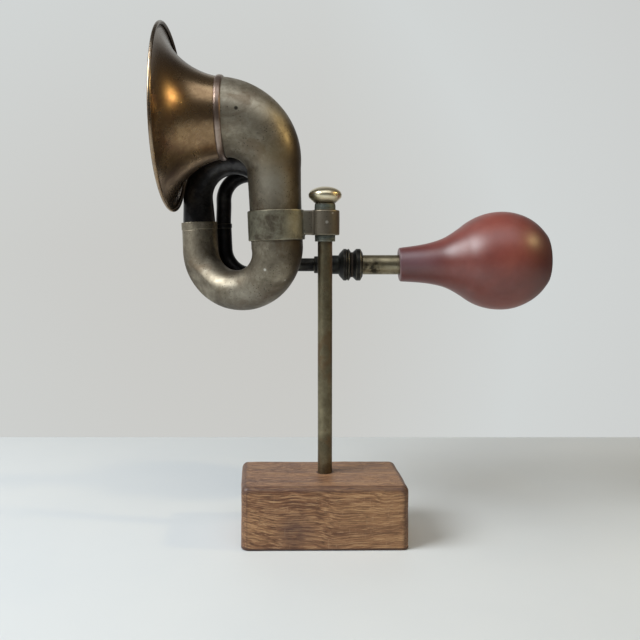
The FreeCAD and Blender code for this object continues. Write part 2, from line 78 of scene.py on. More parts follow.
# ---- horn frame and coil: (u, y, w) with u along +X and w along +Z about the centre of the band
BAND_X, BAND_Z = -39.6, 256.3
HORN_LEAN = radians(2.0)
HORN = Matrix.Translation((BAND_X, 0, BAND_Z)) @ Matrix.Rotation(-HORN_LEAN, 4, "Y")
WALL = 0.8
FRONT_Y, LEFT_Y, MIDDLE_Y, BACK_Y, STEM_Y = 0.0, 39.0, 39.0, 55.0, 59.0
LEFT_U, MIDDLE_U, MIDDLE_LOW_U = -68.6, -5.7, -1.4
BACK_U, BACK_HIGH_U, INLET_U = -49.8, -48.6, -3.9
ELBOW_RADIUS, ELBOW_W, ELBOW_TURN = 41.5, 45.5, radians(89.1)
LOW_FRONT_W, HIGH_MIDDLE_W, LOW_BACK_W, HIGH_BACK_W = -18.2, 26.0, -17.2, 24.5
LIMB_R, ELBOW_START_R, BELL_NECK_R, BIG_BEND_END_R = 21.0, 21.7, 32.0, 15.2
SLIP_R, MIDDLE_TOP_R, MIDDLE_END_R, MIDDLE_FOOT_R = 14.1, 12.6, 9.9, 8.7
BACK_LOW_R, BACK_TOP_R, STEM_R = 6.9, 6.6, 5.85
JOINT_FRONT_W, JOINT_BACK_W, JOINT_INLET_W = 0.5, 2.5, 0.0
SCRAPE_TURN, SCRAPE_TUBE_R, SCRAPE_DEPTH = radians(-137), 15.8, 3.0    # scraped flat on the big bend

# ---- bell
BELL_LENGTH = 42.6
BELL_RIM_R = 72.3
BELL_CONE_SHARE = 0.16
BELL_FLARE_END = radians(86.0)
BEAD_R = 1.5
BELL_WALL = 0.6
FLARE_STEPS = 44
RING_R = 33.5
RING_HALF_WIDTH = 2.8

# ---- inlet, union and bulb
STEM_Z = 223.4
STEM = Vector((0, STEM_Y, STEM_Z))
INLET_BEND_R = 13.0
STEM_END_X = -1.5
BULB_TUBE_R = 8.65
BULB_TUBE_END_X = 86.0
BULB_X = 66.4
BULB_RISE = radians(2.2)
BULB_AXIS = Vector((cos(BULB_RISE), 0, sin(BULB_RISE)))
BULB_MOUTH = Vector((BULB_X, STEM_Y, STEM_Z))
BULB_LENGTH = 131.8
NECK_R = 15.2
BELLY_START, BELLY_S, BELLY_R, BELLY_NEAR, BELLY_FAR = 56.0, 92.0, 43.6, 51.6, 45.2
RUBBER = 3.2
PLUG_R = 13.9
PLUG_DEPTH = 5.0


# ------------------------------------------------------------------ node trees
class Tree:
    """Short way to write the nodes of a material or world; most calls give the output socket made."""

    def __init__(self, name, library=bpy.data.materials, coordinates="Object"):
        self.owner = library.new(name)
        self.owner.use_nodes = True
        self.nodes, self.links = self.owner.node_tree.nodes, self.owner.node_tree.links
        self.place = self.nodes.new("ShaderNodeTexCoord").outputs[coordinates]
        self.colour = None

    def feed(self, socket, value):
        if isinstance(value, bpy.types.NodeSocket):
            self.links.new(value, socket)
        elif value is not None:
            socket.default_value = value

    def node(self, kind, settings=(), **inputs):
        made = self.nodes.new(kind)
        for key, value in dict(settings).items():
            setattr(made, key, value)
        for key, value in inputs.items():
            self.feed(made.inputs[key.replace("_", " ")], value)
        return made

    def noise(self, scale, detail=4.0, rough=0.55, distortion=0.0, place=None):
        made = self.node("ShaderNodeTexNoise", Scale=scale, Detail=detail, Roughness=rough,
                         Distortion=distortion, Vector=place or self.place)
        return made.outputs["Fac"]

    def cells(self, scale, place=None):
        """Distance to the nearest of a scatter of points."""
        return self.node("ShaderNodeTexVoronoi", Scale=scale, Vector=place or self.place).outputs["Distance"]

    def stretch(self, scale, turn=(0, 0, 0), shift=(0, 0, 0), place=None):
        """Coordinates scaled and turned, for grain and scratches."""
        made = self.node("ShaderNodeMapping", Vector=place or self.place)
        made.inputs["Scale"].default_value = scale
        made.inputs["Rotation"].default_value = turn
        made.inputs["Location"].default_value = shift
        return made.outputs["Vector"]

    def step(self, value, low, high, to_low=0.0, to_high=1.0):
        """Smooth change from one value to another."""
        made = self.node("ShaderNodeMapRange", {"interpolation_type": "SMOOTHSTEP"})
        for socket, given in zip(made.inputs, (value, low, high, to_low, to_high)):
            self.feed(socket, given)
        return made.outputs["Result"]

    def math(self, operation, first, second):
        made = self.node("ShaderNodeMath", {"operation": operation})
        self.feed(made.inputs[0], first)
        self.feed(made.inputs[1], second)
        return made.outputs[0]

    def times(self, first, second):
        return self.math("MULTIPLY", first, second)

    def plus(self, first, second):
        return self.math("ADD", first, second)

    def minus(self, first, second):
        return self.math("SUBTRACT", first, second)

    def lay(self, mask, tint, share=None):
        """Lays a tint over the colour so far where a mask is, at a share of its strength."""
        made = self.node("ShaderNodeMix", {"data_type": "RGBA"})
        self.feed(made.inputs[0], mask if share is None else self.times(mask, share))
        self.feed(made.inputs[6], self.colour)
        self.feed(made.inputs[7], tint)
        self.colour = made.outputs[2]

    def ramp(self, value, *stops):
        """Colour ramp through (position, colour) stops."""
        made = self.node("ShaderNodeValToRGB", Fac=value)
        elements = made.color_ramp.elements
        while len(elements) < len(stops):
            elements.new(0.5)
        for element, (position, colour) in zip(elements, stops):
            element.position, element.color = position, colour
        return made.outputs["Color"]

    def near(self, centre, radius, soft):
        """1 round a point in millimetres, fading to 0 at a radius."""
        away = self.node("ShaderNodeVectorMath", {"operation": "DISTANCE"})
        self.feed(away.inputs[0], self.place)
        away.inputs[1].default_value = [c * MM for c in centre]
        return self.step(away.outputs["Value"], radius * MM * (1 - soft), radius * MM, 1.0, 0.0)

    def along(self, direction, start, end):
        """0 to 1 between two distances in millimetres along a direction."""
        made = self.node("ShaderNodeVectorMath", {"operation": "DOT_PRODUCT"})
        self.feed(made.inputs[0], self.place)
        made.inputs[1].default_value = direction
        return self.step(made.outputs["Value"], start * MM, end * MM)

    def mark(self, name):
        """A number that the mesh keeps at its points."""
        return self.node("ShaderNodeAttribute", {"attribute_name": name}).outputs["Fac"]

    def bump(self, height, distance, strength):
        made = self.node("ShaderNodeBump", Height=height)
        made.inputs["Strength"].default_value = strength
        made.inputs["Distance"].default_value = distance * MM
        return made.outputs["Normal"]

    def finish(self, metallic, roughness, normal, **fixed):
        """Feeds the shader and gives the material."""
        given = dict(Base_Color=self.colour, Metallic=metallic, Roughness=roughness, Normal=normal, **fixed)
        for key, value in given.items():
            self.feed(self.nodes["Principled BSDF"].inputs[key.replace("_", " ")], value)
        return self.owner


def rgb(red, green, blue):
    return (red, green, blue, 1.0)


# ------------------------------------------------------------------ materials
def aged_brass(name, dark, middle, light, rough=(0.34, 0.52), metallic=0.92, grime=0.5, wear=0.5,
               stain=None, marks_and_painted_light=(), specks=0.35, pale=0.0, worn=None, seed=0.0):
    """Old brass: clouded tarnish, pitting, fine scratches, worn edges and dirt in corners.
    The listed spots are (mask maker, colour, strength) laid over the tarnish: nicks and soot, and also
    painted highlights and painted shade."""
    t = Tree(name)
    shifted = t.stretch((1, 1, 1), shift=(seed, seed * 0.7, -seed))
    clouds = t.noise(17.0, 4.0, 0.55, 0.4, shifted)
    mottle = t.noise(75.0, 6.0, 0.68, 0.5, shifted)
    grain = t.noise(900.0, 3.0, 0.6)
    blotch = t.noise(230.0, 5.0, 0.7, 0.6, shifted)
    tone = t.plus(t.times(clouds, 0.5), t.times(mottle, 0.34))
    tone = t.plus(tone, t.times(blotch, 0.16))
    t.colour = t.ramp(tone, (0.39, dark), (0.5, middle), (0.61, light))
    if stain:
        t.lay(t.step(t.noise(38.0, 5.0, 0.6, 0.8, shifted), 0.5, 0.68, 0.0, 0.65), stain)
    for mask, tint, strength in marks_and_painted_light:
        t.lay(mask(t), tint, strength)
    pits = t.step(t.cells(460.0, shifted), 0.12, 0.27, 1.0, 0.0)
    pits = t.times(pits, t.step(t.noise(60.0, 3.0), 0.46, 0.6))
    t.lay(pits, rgb(0.022, 0.018, 0.012), specks)
    if pale:
        chips = t.times(t.step(t.cells(760.0, shifted), 0.07, 0.17, 1.0, 0.0), t.step(blotch, 0.5, 0.62))
        t.lay(chips, rgb(0.48, 0.46, 0.4), pale)
    hair = t.noise(1.0, 2.0, 0.5, 0.0, t.stretch((260, 5200, 260), (0.4, 0.3, 0.9)))
    hair = t.step(hair, 0.71, 0.76)
    cross = t.noise(1.0, 2.0, 0.5, 0.0, t.stretch((4200, 160, 300), (0.2, 0.9, 0.35)))
    cross = t.step(cross, 0.72, 0.77)
    lines = t.times(t.math("MAXIMUM", hair, cross), t.step(mottle, 0.42, 0.6))
    t.lay(lines, light, 0.35)
    edge = t.mark("edge")
    broken = t.step(t.noise(240.0, 4.0), 0.36, 0.62, 0.35, 1.0)
    bright = t.times(t.step(edge, 0.15, 0.9), t.times(broken, wear))
    t.lay(bright, worn or rgb(0.52, 0.46, 0.33))
    dirt = t.times(t.step(edge, -0.1, -0.9), grime)
    t.lay(dirt, rgb(0.02, 0.017, 0.012))
    roughness = t.step(tone, 0.36, 0.66, rough[1], rough[0])
    roughness = t.minus(roughness, t.times(bright, 0.12))
    roughness = t.plus(roughness, t.times(dirt, 0.3))
    relief = t.plus(t.times(mottle, 0.7), t.times(grain, 0.12))
    relief = t.minus(relief, t.times(pits, 0.25))
    relief = t.minus(relief, t.times(lines, 0.1))
    metal = t.minus(metallic, t.times(dirt, 0.5))
    return t.finish(metal, roughness, t.bump(relief, 0.16, 0.8))


def patch(centre, radius, soft):
    """Mask maker: a soft spot on the surface."""
    return lambda t: t.near(centre, radius, soft)


def cloudy_patch(centre, radius):
    """Mask maker: a soft spot broken up by noise."""
    return lambda t: t.times(t.near(centre, radius, 0.7), t.step(t.noise(160.0, 5.0), 0.4, 0.6))


def fade(direction, start, end):
    """Mask maker: a change along a direction."""
    return lambda t: t.along(direction, start, end)


def bulb_rubber():
    """Satin brick-red rubber with a faint bloom and a light worn lip, and with a painted highlight on the
    neck and painted shade over its far part and end.
    """
    t = Tree("bulb_rubber")
    axis = tuple(BULB_AXIS)
    start = BULB_MOUTH.dot(BULB_AXIS)
    clouds = t.noise(16.0, 4.0, 0.55, 0.3)
    fine = t.noise(420.0, 4.0, 0.6)
    t.colour = t.ramp(clouds, (0.34, rgb(0.145, 0.028, 0.019)), (0.52, rgb(0.205, 0.042, 0.028)),
                      (0.7, rgb(0.265, 0.064, 0.041)))
    neck = t.along(axis, start + 60, start + 4)
    t.lay(neck, rgb(0.13, 0.035, 0.04), 0.55)
    # Painted highlight: a lilac streak along the upper neck.
    upper = t.times(t.along((0, 0, 1), STEM_Z - 8, STEM_Z + 3), t.along((0, 0, 1), STEM_Z + 15, STEM_Z + 8))
    upper = t.times(t.along(axis, start + 44, start + 8), upper)
    t.lay(upper, rgb(0.27, 0.18, 0.215), 0.45)
    # Painted shade: the far part of the bulb darker.
    painted_far_shade = t.along(axis, start + 96, start + 128)
    t.lay(painted_far_shade, rgb(0.055, 0.007, 0.004), 0.85)
    bloom = t.step(t.noise(48.0, 5.0, 0.65), 0.45, 0.75, 0.0, 0.1)
    t.lay(bloom, rgb(0.34, 0.2, 0.19))
    specks = t.step(t.cells(330.0), 0.06, 0.14, 0.3, 0.0)
    t.lay(specks, rgb(0.1, 0.03, 0.03))
    edge = t.mark("edge")
    t.lay(t.step(edge, 0.2, 0.9, 0.0, 0.55), rgb(0.42, 0.3, 0.31))
    # Painted shade: the end coloured near-black.
    end = t.along(axis, start + BULB_LENGTH - 2.2, start + BULB_LENGTH - 1.2)
    t.lay(end, rgb(0.02, 0.01, 0.009))
    roughness = t.plus(t.step(clouds, 0.3, 0.7, 0.35, 0.43), t.times(fine, 0.06))
    relief = t.plus(t.times(clouds, 0.8), t.times(fine, 0.1))
    return t.finish(0.0, roughness, t.bump(relief, 0.25, 0.35),
                    Specular_IOR_Level=0.8, Sheen_Weight=0.03, Sheen_Roughness=0.4)


def plug_rubber():
    t = Tree("plug_rubber")
    mottle = t.noise(260.0, 5.0, 0.6)
    t.colour = t.ramp(mottle, (0.35, rgb(0.012, 0.009, 0.009)), (0.7, rgb(0.035, 0.022, 0.02)))
    return t.finish(0.0, t.step(mottle, 0.3, 0.7, 0.5, 0.7), t.bump(mottle, 0.1, 0.4))


def gasket_leather():
    t = Tree("gasket_leather")
    fibres = t.noise(700.0, 5.0, 0.7)
    t.colour = t.ramp(fibres, (0.3, rgb(0.018, 0.013, 0.01)), (0.7, rgb(0.075, 0.05, 0.033)))
    return t.finish(0.0, 0.8, t.bump(fibres, 0.15, 0.6))


def iron_wire():
    t = Tree("iron_wire")
    rust = t.noise(350.0, 5.0, 0.65)
    t.colour = t.ramp(rust, (0.4, rgb(0.1, 0.09, 0.085)), (0.65, rgb(0.12, 0.045, 0.02)))
    return t.finish(t.step(rust, 0.4, 0.6, 0.9, 0.1), t.step(rust, 0.4, 0.6, 0.45, 0.85),
                    t.bump(rust, 0.1, 0.5))


def oiled_wood():
    """Oiled hardwood: wavy long grain, open pores, cross flecks, a dark knot stain and worn edges."""
    t = Tree("oiled_wood")
    drift = t.noise(9.0, 3.0, 0.5, 0.0)
    bend = t.node("ShaderNodeVectorMath", {"operation": "MULTIPLY_ADD"})
    t.feed(bend.inputs[0], t.node("ShaderNodeCombineXYZ", X=0.0, Y=drift, Z=drift).outputs[0])
    bend.inputs[1].default_value = (0, 0.016, 0.03)
    t.feed(bend.inputs[2], t.place)
    flow = bend.outputs[0]

    rings = t.noise(1.0, 5.0, 0.6, 0.6, t.stretch((9, 150, 210), place=flow))
    fibre = t.noise(1.0, 4.0, 0.65, 0.0, t.stretch((55, 900, 1250), place=flow))
    pores = t.step(t.noise(1.0, 2.0, 0.5, 0.0, t.stretch((130, 1700, 2100), place=flow)), 0.6, 0.7)
    broad = t.noise(14.0, 3.0, 0.5, 0.2)
    t.colour = t.ramp(rings, (0.32, rgb(0.12, 0.048, 0.024)), (0.44, rgb(0.235, 0.108, 0.05)),
                      (0.56, rgb(0.365, 0.19, 0.088)), (0.7, rgb(0.49, 0.28, 0.135)))
    t.lay(t.step(broad, 0.35, 0.7, 0.0, 0.35), rgb(0.17, 0.078, 0.045))
    t.lay(t.step(fibre, 0.52, 0.62, 0.0, 0.6), rgb(0.6, 0.37, 0.19))
    t.lay(t.step(fibre, 0.49, 0.4, 0.0, 0.72), rgb(0.08, 0.034, 0.018))
    t.lay(pores, rgb(0.05, 0.022, 0.015), 0.75)
    rays = t.noise(1.0, 3.0, 0.6, 0.4, t.stretch((700, 420, 90), (0.0, -0.75, 0.0)))
    rays = t.times(t.step(rays, 0.6, 0.7), t.step(t.noise(22.0, 3.0), 0.46, 0.6))
    t.lay(rays, rgb(0.47, 0.31, 0.18), 0.5)
    knot = t.times(t.near((-24, -42, 15), 22, 0.85), t.step(t.noise(120.0, 4.0), 0.3, 0.6, 0.35, 1.0))
    t.lay(knot, rgb(0.085, 0.045, 0.038), 0.55)
    warm = t.along((1, 0, 0), -30, 50)
    t.lay(warm, rgb(0.56, 0.31, 0.13), 0.16)
    # Painted shade: the top face darker than the sides.
    top = t.along((0, 0, 1), 47.0, 51.0)
    t.lay(top, rgb(0.085, 0.048, 0.036), 0.42)
    edge = t.mark("edge")
    t.lay(t.step(edge, 0.03, 0.3, 0.0, 0.8), rgb(0.06, 0.029, 0.022))
    roughness = t.plus(t.step(rings, 0.3, 0.7, 0.44, 0.56), t.times(pores, 0.2))
    relief = t.minus(t.times(fibre, 0.5), t.times(pores, 0.7))
    relief = t.plus(relief, t.times(rings, 0.5))
    return t.finish(0.0, roughness, t.bump(relief, 0.28, 0.7), Specular_IOR_Level=0.4)


# ------------------------------------------------------------------ mesh makers
def put(name, data):
    """New object in the scene."""
    made = bpy.data.objects.new(name, data)
    bpy.context.scene.collection.objects.link(made)
    return made


def poured(name, work):
    """Object made of a finished bmesh, which goes away."""
    data = bpy.data.meshes.new(name)
    work.to_mesh(data)
    work.free()
    return put(name, data)


def piece(name, points, faces, edges_marked, material):
    """Mesh object from points in millimetres, with how sharp each point's corner is kept as 'edge'."""
    data = bpy.data.meshes.new(name)
    data.from_pydata([tuple(p * MM) for p in points], [], faces)
    data.validate()
    data.polygons.foreach_set("use_smooth", [True] * len(data.polygons))
    data.attributes.new("edge", "FLOAT", "POINT").data.foreach_set("value", edges_marked)
    data.materials.append(material)
    return put(name, data)


def stand_in(made, body, slot, *nodes):
    """The piece rides on a body and stands for CAD nodes."""
    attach(made, body)
    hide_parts(*nodes)
    return made


ARC_STEPS = 4


def rounded(corners, radius, closed, longest=6.0):
    """Outline through (s, r) or (s, r, radius) corners, as (s, r, edge) points: each corner becomes a
    small arc between two supports, edge is 1 on an outer corner and -1 in an inner one."""
    count = len(corners)
    flat = [Vector(c[:2]) for c in corners]
    winding = sum(a.x * b.y - b.x * a.y for a, b in zip(flat, flat[1:] + flat[:1]))
    made = []
    for i, here in enumerate(flat):
        if not closed and i in (0, count - 1):
            made.append((here, 0.0))
            continue
        before, after = flat[i - 1], flat[(i + 1) % count]
        back, on = before - here, after - here
        space = 0.42 * min(back.length, on.length)
        bend = back.angle(on)
        wanted = corners[i][2] if len(corners[i]) > 2 else radius
        reach = min(wanted / tan(bend / 2), space)
        sign = 1 if (back.x * on.y - back.y * on.x) * winding < 0 else -1
        sharp = sign * min(1.0, (pi - bend) / 1.2)
        start, end = here + back.normalized() * reach, here + on.normalized() * reach
        support = min(0.35 * reach + 0.05, 0.5 * space)
        made.append((start + back.normalized() * support, 0.0))
        for k in range(ARC_STEPS + 1):
            f = k / ARC_STEPS
            spot = start * (1 - f) ** 2 + here * 2 * f * (1 - f) + end * f ** 2
            made.append((spot, sharp * sin(pi * (0.2 + 0.6 * f))))
        made.append((end + on.normalized() * support, 0.0))
    full = []
    pairs = zip(made, made[1:] + made[:1]) if closed else zip(made, made[1:])
    for (a, edge_a), (b, edge_b) in pairs:
        full.append((a.x, a.y, edge_a))
        extra = int((b - a).length / longest)
        for k in range(extra):
            spot = a.lerp(b, (k + 1) / (extra + 1))
            full.append((spot.x, spot.y, 0.0))
    if not closed:
        full.append((made[-1][0].x, made[-1][0].y, 0.0))
    return full


def lathe(name, outline, material, centre=Vector((0, 0, 0)), axis=Z_AXIS, sides=96, closed=True, shape=None):
    """Solid of revolution of (s, r, edge) points.  An open outline starts and ends on the axis."""
    turn = Z_AXIS.rotation_difference(axis).to_matrix()
    points, marks, rows = [], [], []
    for s, r, edge in outline:
        row = []
        for k in range(1 if r < 1e-6 else sides):
            a = 2 * pi * k / sides
            spot = Vector((r * cos(a), r * sin(a), s))
            if shape:
                spot = shape(spot, a)
            row.append(len(points))
            points.append(centre + turn @ spot)
            marks.append(edge)
        rows.append(row)
    faces = []
    pairs = list(zip(rows, rows[1:])) + ([(rows[-1], rows[0])] if closed else [])
    for low, high in pairs:
        for k in range(sides):
            n = (k + 1) % sides
            ring = [low[k % len(low)], low[n % len(low)], high[n % len(high)], high[k % len(high)]]
            face = list(dict.fromkeys(ring))
            if len(face) > 2:
                faces.append(face)
    made = piece(name, points, faces, marks, material)
    outward(made.data)
    return made


def peg(name, low, high, radius, fillet, material, centre=Vector((0, 0, 0)), axis=Z_AXIS, sides=96):
    """Plain cylinder between two distances along an axis."""
    outline = rounded([(low, 0), (low, radius), (high, radius), (high, 0)], fillet, False)
    return lathe(name, outline, material, centre, axis, sides, closed=False)


def outward(data):
    """Turns all faces of a closed mesh to face out."""
    work = bmesh.new()
    work.from_mesh(data)
    bmesh.ops.recalc_face_normals(work, faces=work.faces)
    work.to_mesh(data)
    work.free()


def ease(a, b, f):
    return a + (b - a) * (1 - cos(pi * f)) / 2


def limb(start, end):
    """Path from one (u, y, w) point to another, upright at both ends."""
    return lambda f: Vector((ease(start[0], end[0], f), ease(start[1], end[1], f),
                             start[2] + (end[2] - start[2]) * f))


def arch(u_start, u_end, w, start, y_start, y_end):
    """Half-circle bend from one limb to the next; it starts at 180 degrees over the top, or 0 below."""
    return bend((u_start + u_end) / 2, w, abs(u_start - u_end) / 2, radians(start), -pi,
                y_start, y_end)


def bend(centre_u, centre_w, radius, start, turn, y_start, y_end):
    """Path round a centre in the u-w plane, from an angle through a turn, drifting in y."""
    return lambda f: Vector((centre_u + radius * cos(start + turn * f), ease(y_start, y_end, f),
                             centre_w + radius * sin(start + turn * f)))


def straight(start, end, r_start, r_end, swell=0.0):
    """Run of tube up or down a limb."""
    return limb(start, end), r_start, r_end, swell, abs(end[2] - start[2])


def arched(u_start, u_end, w, start, y_start, y_end, r_start, r_end, swell=0.0):
    """Run of tube round a half-circle bend."""
    return (arch(u_start, u_end, w, start, y_start, y_end), r_start, r_end, swell,
            abs(u_end - u_start) / 2 * pi)


def stations(runs, spacing):
    """(centre, direction, radius) along runs of (path, start radius, end radius, swell, length)."""
    made = []
    for path, r_start, r_end, swell, length in runs:
        steps = max(2, round(length / spacing))
        for i in range(0 if not made else 1, steps + 1):
            f = i / steps
            along = (path(f + 1e-3) - path(f - 1e-3)).normalized()
            made.append((path(f), along, r_start + (r_end - r_start) * f + swell * 4 * f * (1 - f)))
    return made


def tube(name, runs, material, sides, spacing, shape):
    """Tube of sheet brass along runs in the horn frame: a closed skin, outside and inside."""
    line = stations(runs, spacing)
    rows = [(c, d, r) for c, d, r in line] + [(c, d, r - WALL) for c, d, r in reversed(line)]
    points = []
    for centre, along, radius in rows:
        side = (Y_AXIS - along * along.y).normalized()
        up = along.cross(side)
        for k in range(sides):
            a = 2 * pi * k / sides
            spot = centre + (side * cos(a) + up * sin(a)) * radius
            points.append(HORN @ shape(spot, centre))
    count = len(rows)
    faces = [(i * sides + k, i * sides + (k + 1) % sides, (i + 1) % count * sides + (k + 1) % sides,
              (i + 1) % count * sides + k) for i in range(count) for k in range(sides)]
    marks = [0.0] * len(points)
    for ring in (0, len(line) - 1):
        marks[ring * sides:(ring + 1) * sides] = [0.8] * sides
    made = piece(name, points, faces, marks, material)
    outward(made.data)
    return made


def hammered(amount, size, seed):
    """Shape function: sheet that is not quite true, by an amount over lumps of a size."""
    def shape(spot, centre):
        lump = noise.noise(spot / size + Vector((seed, 0, 0)))
        away = spot - centre
        return spot + away.normalized() * lump * amount
    return shape


def evaluated(name, helper, material):
    """Mesh object with the helper's modifiers applied; the helper goes away."""
    view = bpy.context.evaluated_depsgraph_get()
    data = bpy.data.meshes.new_from_object(helper.evaluated_get(view), depsgraph=view)
    data.name = name
    made = put(name, data)
    bpy.data.objects.remove(helper)
    data.polygons.foreach_set("use_smooth", [True] * len(data.polygons))
    data.materials.clear()
    data.materials.append(material)
    return made


def joined(name, base, added, cut, material):
    """Boolean union and difference of helper solids, which go away."""
    for operation, solids in (("UNION", added), ("DIFFERENCE", cut)):
        for solid in solids:
            step = base.modifiers.new(solid.name, "BOOLEAN")
            step.operation, step.solver, step.object = operation, "EXACT", solid
    bpy.context.view_layer.update()
    made = evaluated(name, base, material)
    for solid in added + cut:
        bpy.data.objects.remove(solid)
    return made


def resurfaced(name, helper, voxel, passes, material):
    """Even mesh over a solid, with its corners softened."""
    remesh = helper.modifiers.new("even", "REMESH")
    remesh.mode, remesh.voxel_size = "VOXEL", voxel * MM
    soften = helper.modifiers.new("soften", "SMOOTH")
    soften.factor, soften.iterations = 0.5, passes
    bpy.context.view_layer.update()
    made = evaluated(name, helper, material)
    mark_corners(made.data, voxel * MM)
    return made


def pushed(data, how_far):
    """Moves each point along its normal by how_far(place) millimetres."""
    moved = []
    for v in data.vertices:
        place = v.co / MM
        moved.extend((place + v.normal * how_far(place)) * MM)
    data.vertices.foreach_set("co", moved)
    data.update()


def mark_corners(data, spread):
    """Keeps 'edge' at each point: how far the surface bends outward (+) or inward (-) there."""
    count = len(data.vertices)
    total, links = [0.0] * count, [0] * count
    normals = [v.normal.copy() for v in data.vertices]
    places = [v.co.copy() for v in data.vertices]
    for a, b in (tuple(e.vertices) for e in data.edges):
        step = places[b] - places[a]
        turn = (normals[b] - normals[a]).dot(step) / max(step.length_squared, 1e-12)
        for end in (a, b):
            total[end] += turn
            links[end] += 1
    marks = [max(-1.0, min(1.0, spread * t / max(n, 1) * 2.2)) for t, n in zip(total, links)]
    mark = data.attributes.get("edge") or data.attributes.new("edge", "FLOAT", "POINT")
    mark.data.foreach_set("value", marks)


# ------------------------------------------------------------------ metals of this horn
OLIVE_DARK, OLIVE, OLIVE_LIGHT = rgb(0.112, 0.092, 0.066), rgb(0.235, 0.203, 0.15), rgb(0.41, 0.37, 0.29)
BROWN_DARK, BROWN, BROWN_LIGHT = rgb(0.165, 0.102, 0.055), rgb(0.3, 0.197, 0.108), rgb(0.43, 0.3, 0.17)
# Near-black tones: painted shade for the back loops and the parts behind the horn.
BLACK_DARK, BLACK, BLACK_LIGHT = rgb(0.01, 0.01, 0.011), rgb(0.022, 0.021, 0.022), rgb(0.07, 0.067, 0.066)
VERDIGRIS = rgb(0.15, 0.195, 0.17)
NICK = rgb(0.62, 0.6, 0.54)
SOOT = rgb(0.02, 0.016, 0.012)

horn_brass = aged_brass("horn_brass", OLIVE_DARK, OLIVE, OLIVE_LIGHT, rough=(0.42, 0.6),
                        stain=rgb(0.165, 0.12, 0.078), specks=0.7, wear=0.4, pale=0.6, marks_and_painted_light=[
                            # Painted highlight: a lighter patch on the front limb where the window's sheen
                            # falls.
                            (patch((-42, -21, 292), 24, 0.9), rgb(0.48, 0.44, 0.35), 0.5),
                            # Painted highlight: a warm gold glow on the elbow, standing for the lamp's
                            # reflection.
                            (patch((-36, -18, 312), 24, 0.9), rgb(0.27, 0.19, 0.08), 0.45),
                            # Painted shade: the front limb darker on its right side.
                            (fade((1, 0, 0), -34, -23), rgb(0.06, 0.042, 0.026), 0.88),
                            # Painted shade: the big bend darker towards its bottom.
                            (fade((0.25, 0, -0.97), -222, -206), rgb(0.105, 0.09, 0.072), 0.55),
                            # Painted shade: a darker patch in the inside corner of the elbow, at the limb's
                            # left edge.
                            (patch((-66, -24, 310), 20, 0.9), rgb(0.12, 0.1, 0.072), 0.5),
                            # Painted shade: a darker patch dimming the window highlight low on the big bend.
                            (patch((-88, 14, 213), 20, 0.9), rgb(0.15, 0.125, 0.085), 0.55),
                            (cloudy_patch((-96, 8, 232), 22), rgb(0.4, 0.38, 0.32), 0.35),
                            (patch((-68.0, -30.4, 344.3), 2.0, 0.5), SOOT, 0.9),
                            (patch((-47.7, -16, 221), 1.6, 0.5), NICK, 0.9),
                            (patch((-32.8, -10.5, 213), 1.6, 0.5), NICK, 0.9)])
# Painted shade: the back loops, the same brass as the front, coloured near-black as shaded behind the front
# limb.
shaded_back_brass = aged_brass("shaded_back_brass", BLACK_DARK, BLACK, BLACK_LIGHT, rough=(0.3, 0.45), metallic=0.8,
                        seed=0.3)
bell_brass = aged_brass("bell_brass", BROWN_DARK, BROWN, BROWN_LIGHT, rough=(0.22, 0.34), metallic=0.95,
                        stain=rgb(0.19, 0.11, 0.07), specks=0.25, wear=0.35, worn=rgb(0.36, 0.33, 0.28),
                        # Painted shade: the bell darker towards its top.
                        marks_and_painted_light=[(fade((0, 0, 1), 350, 392), rgb(0.075, 0.048, 0.026), 0.85)], seed=0.6)
ring_brass = aged_brass("ring_brass", rgb(0.11, 0.07, 0.05), rgb(0.23, 0.16, 0.125), rgb(0.36, 0.28, 0.23),
                        rough=(0.3, 0.44), wear=0.3, worn=rgb(0.42, 0.34, 0.28), seed=0.9)
clamp_brass = aged_brass("clamp_brass", OLIVE_DARK, rgb(0.285, 0.27, 0.2), rgb(0.43, 0.41, 0.32),
                         rough=(0.46, 0.64), wear=0.9, specks=0.5, pale=0.3,
                         # Painted shade: the first spot makes the band darker on its right side; the others
                         # are nicks.
                         marks_and_painted_light=[(fade((1, 0, 0), -24, -10), rgb(0.115, 0.085, 0.062), 0.75),
                                  (patch((1.5, -11.8, 258.7), 1.6, 0.5), NICK, 0.6),
                                  (patch((6.0, -10.2, 265.9), 1.0, 0.5), NICK, 0.6)], seed=1.2)
collar_brass = aged_brass("collar_brass", rgb(0.08, 0.085, 0.07), rgb(0.165, 0.18, 0.155),
                          rgb(0.3, 0.33, 0.29), rough=(0.5, 0.7), metallic=0.7, stain=VERDIGRIS, seed=1.5)
rod_brass = aged_brass("rod_brass", rgb(0.095, 0.078, 0.048), rgb(0.165, 0.14, 0.086),
                       rgb(0.26, 0.225, 0.14), rough=(0.32, 0.46), stain=rgb(0.17, 0.105, 0.055),
                       specks=0.3, seed=1.8)
knob_brass = aged_brass("knob_brass", rgb(0.46, 0.37, 0.23), rgb(0.68, 0.59, 0.4), rgb(0.82, 0.75, 0.57),
                        rough=(0.26, 0.4), metallic=1.0, specks=0.35, grime=0.95, seed=2.1,
                        # Painted shade: the cone under the ball coloured dark.
                        marks_and_painted_light=[(fade((0, 0, 1), 277.5, 274.2), rgb(0.06, 0.045, 0.028), 0.85)])
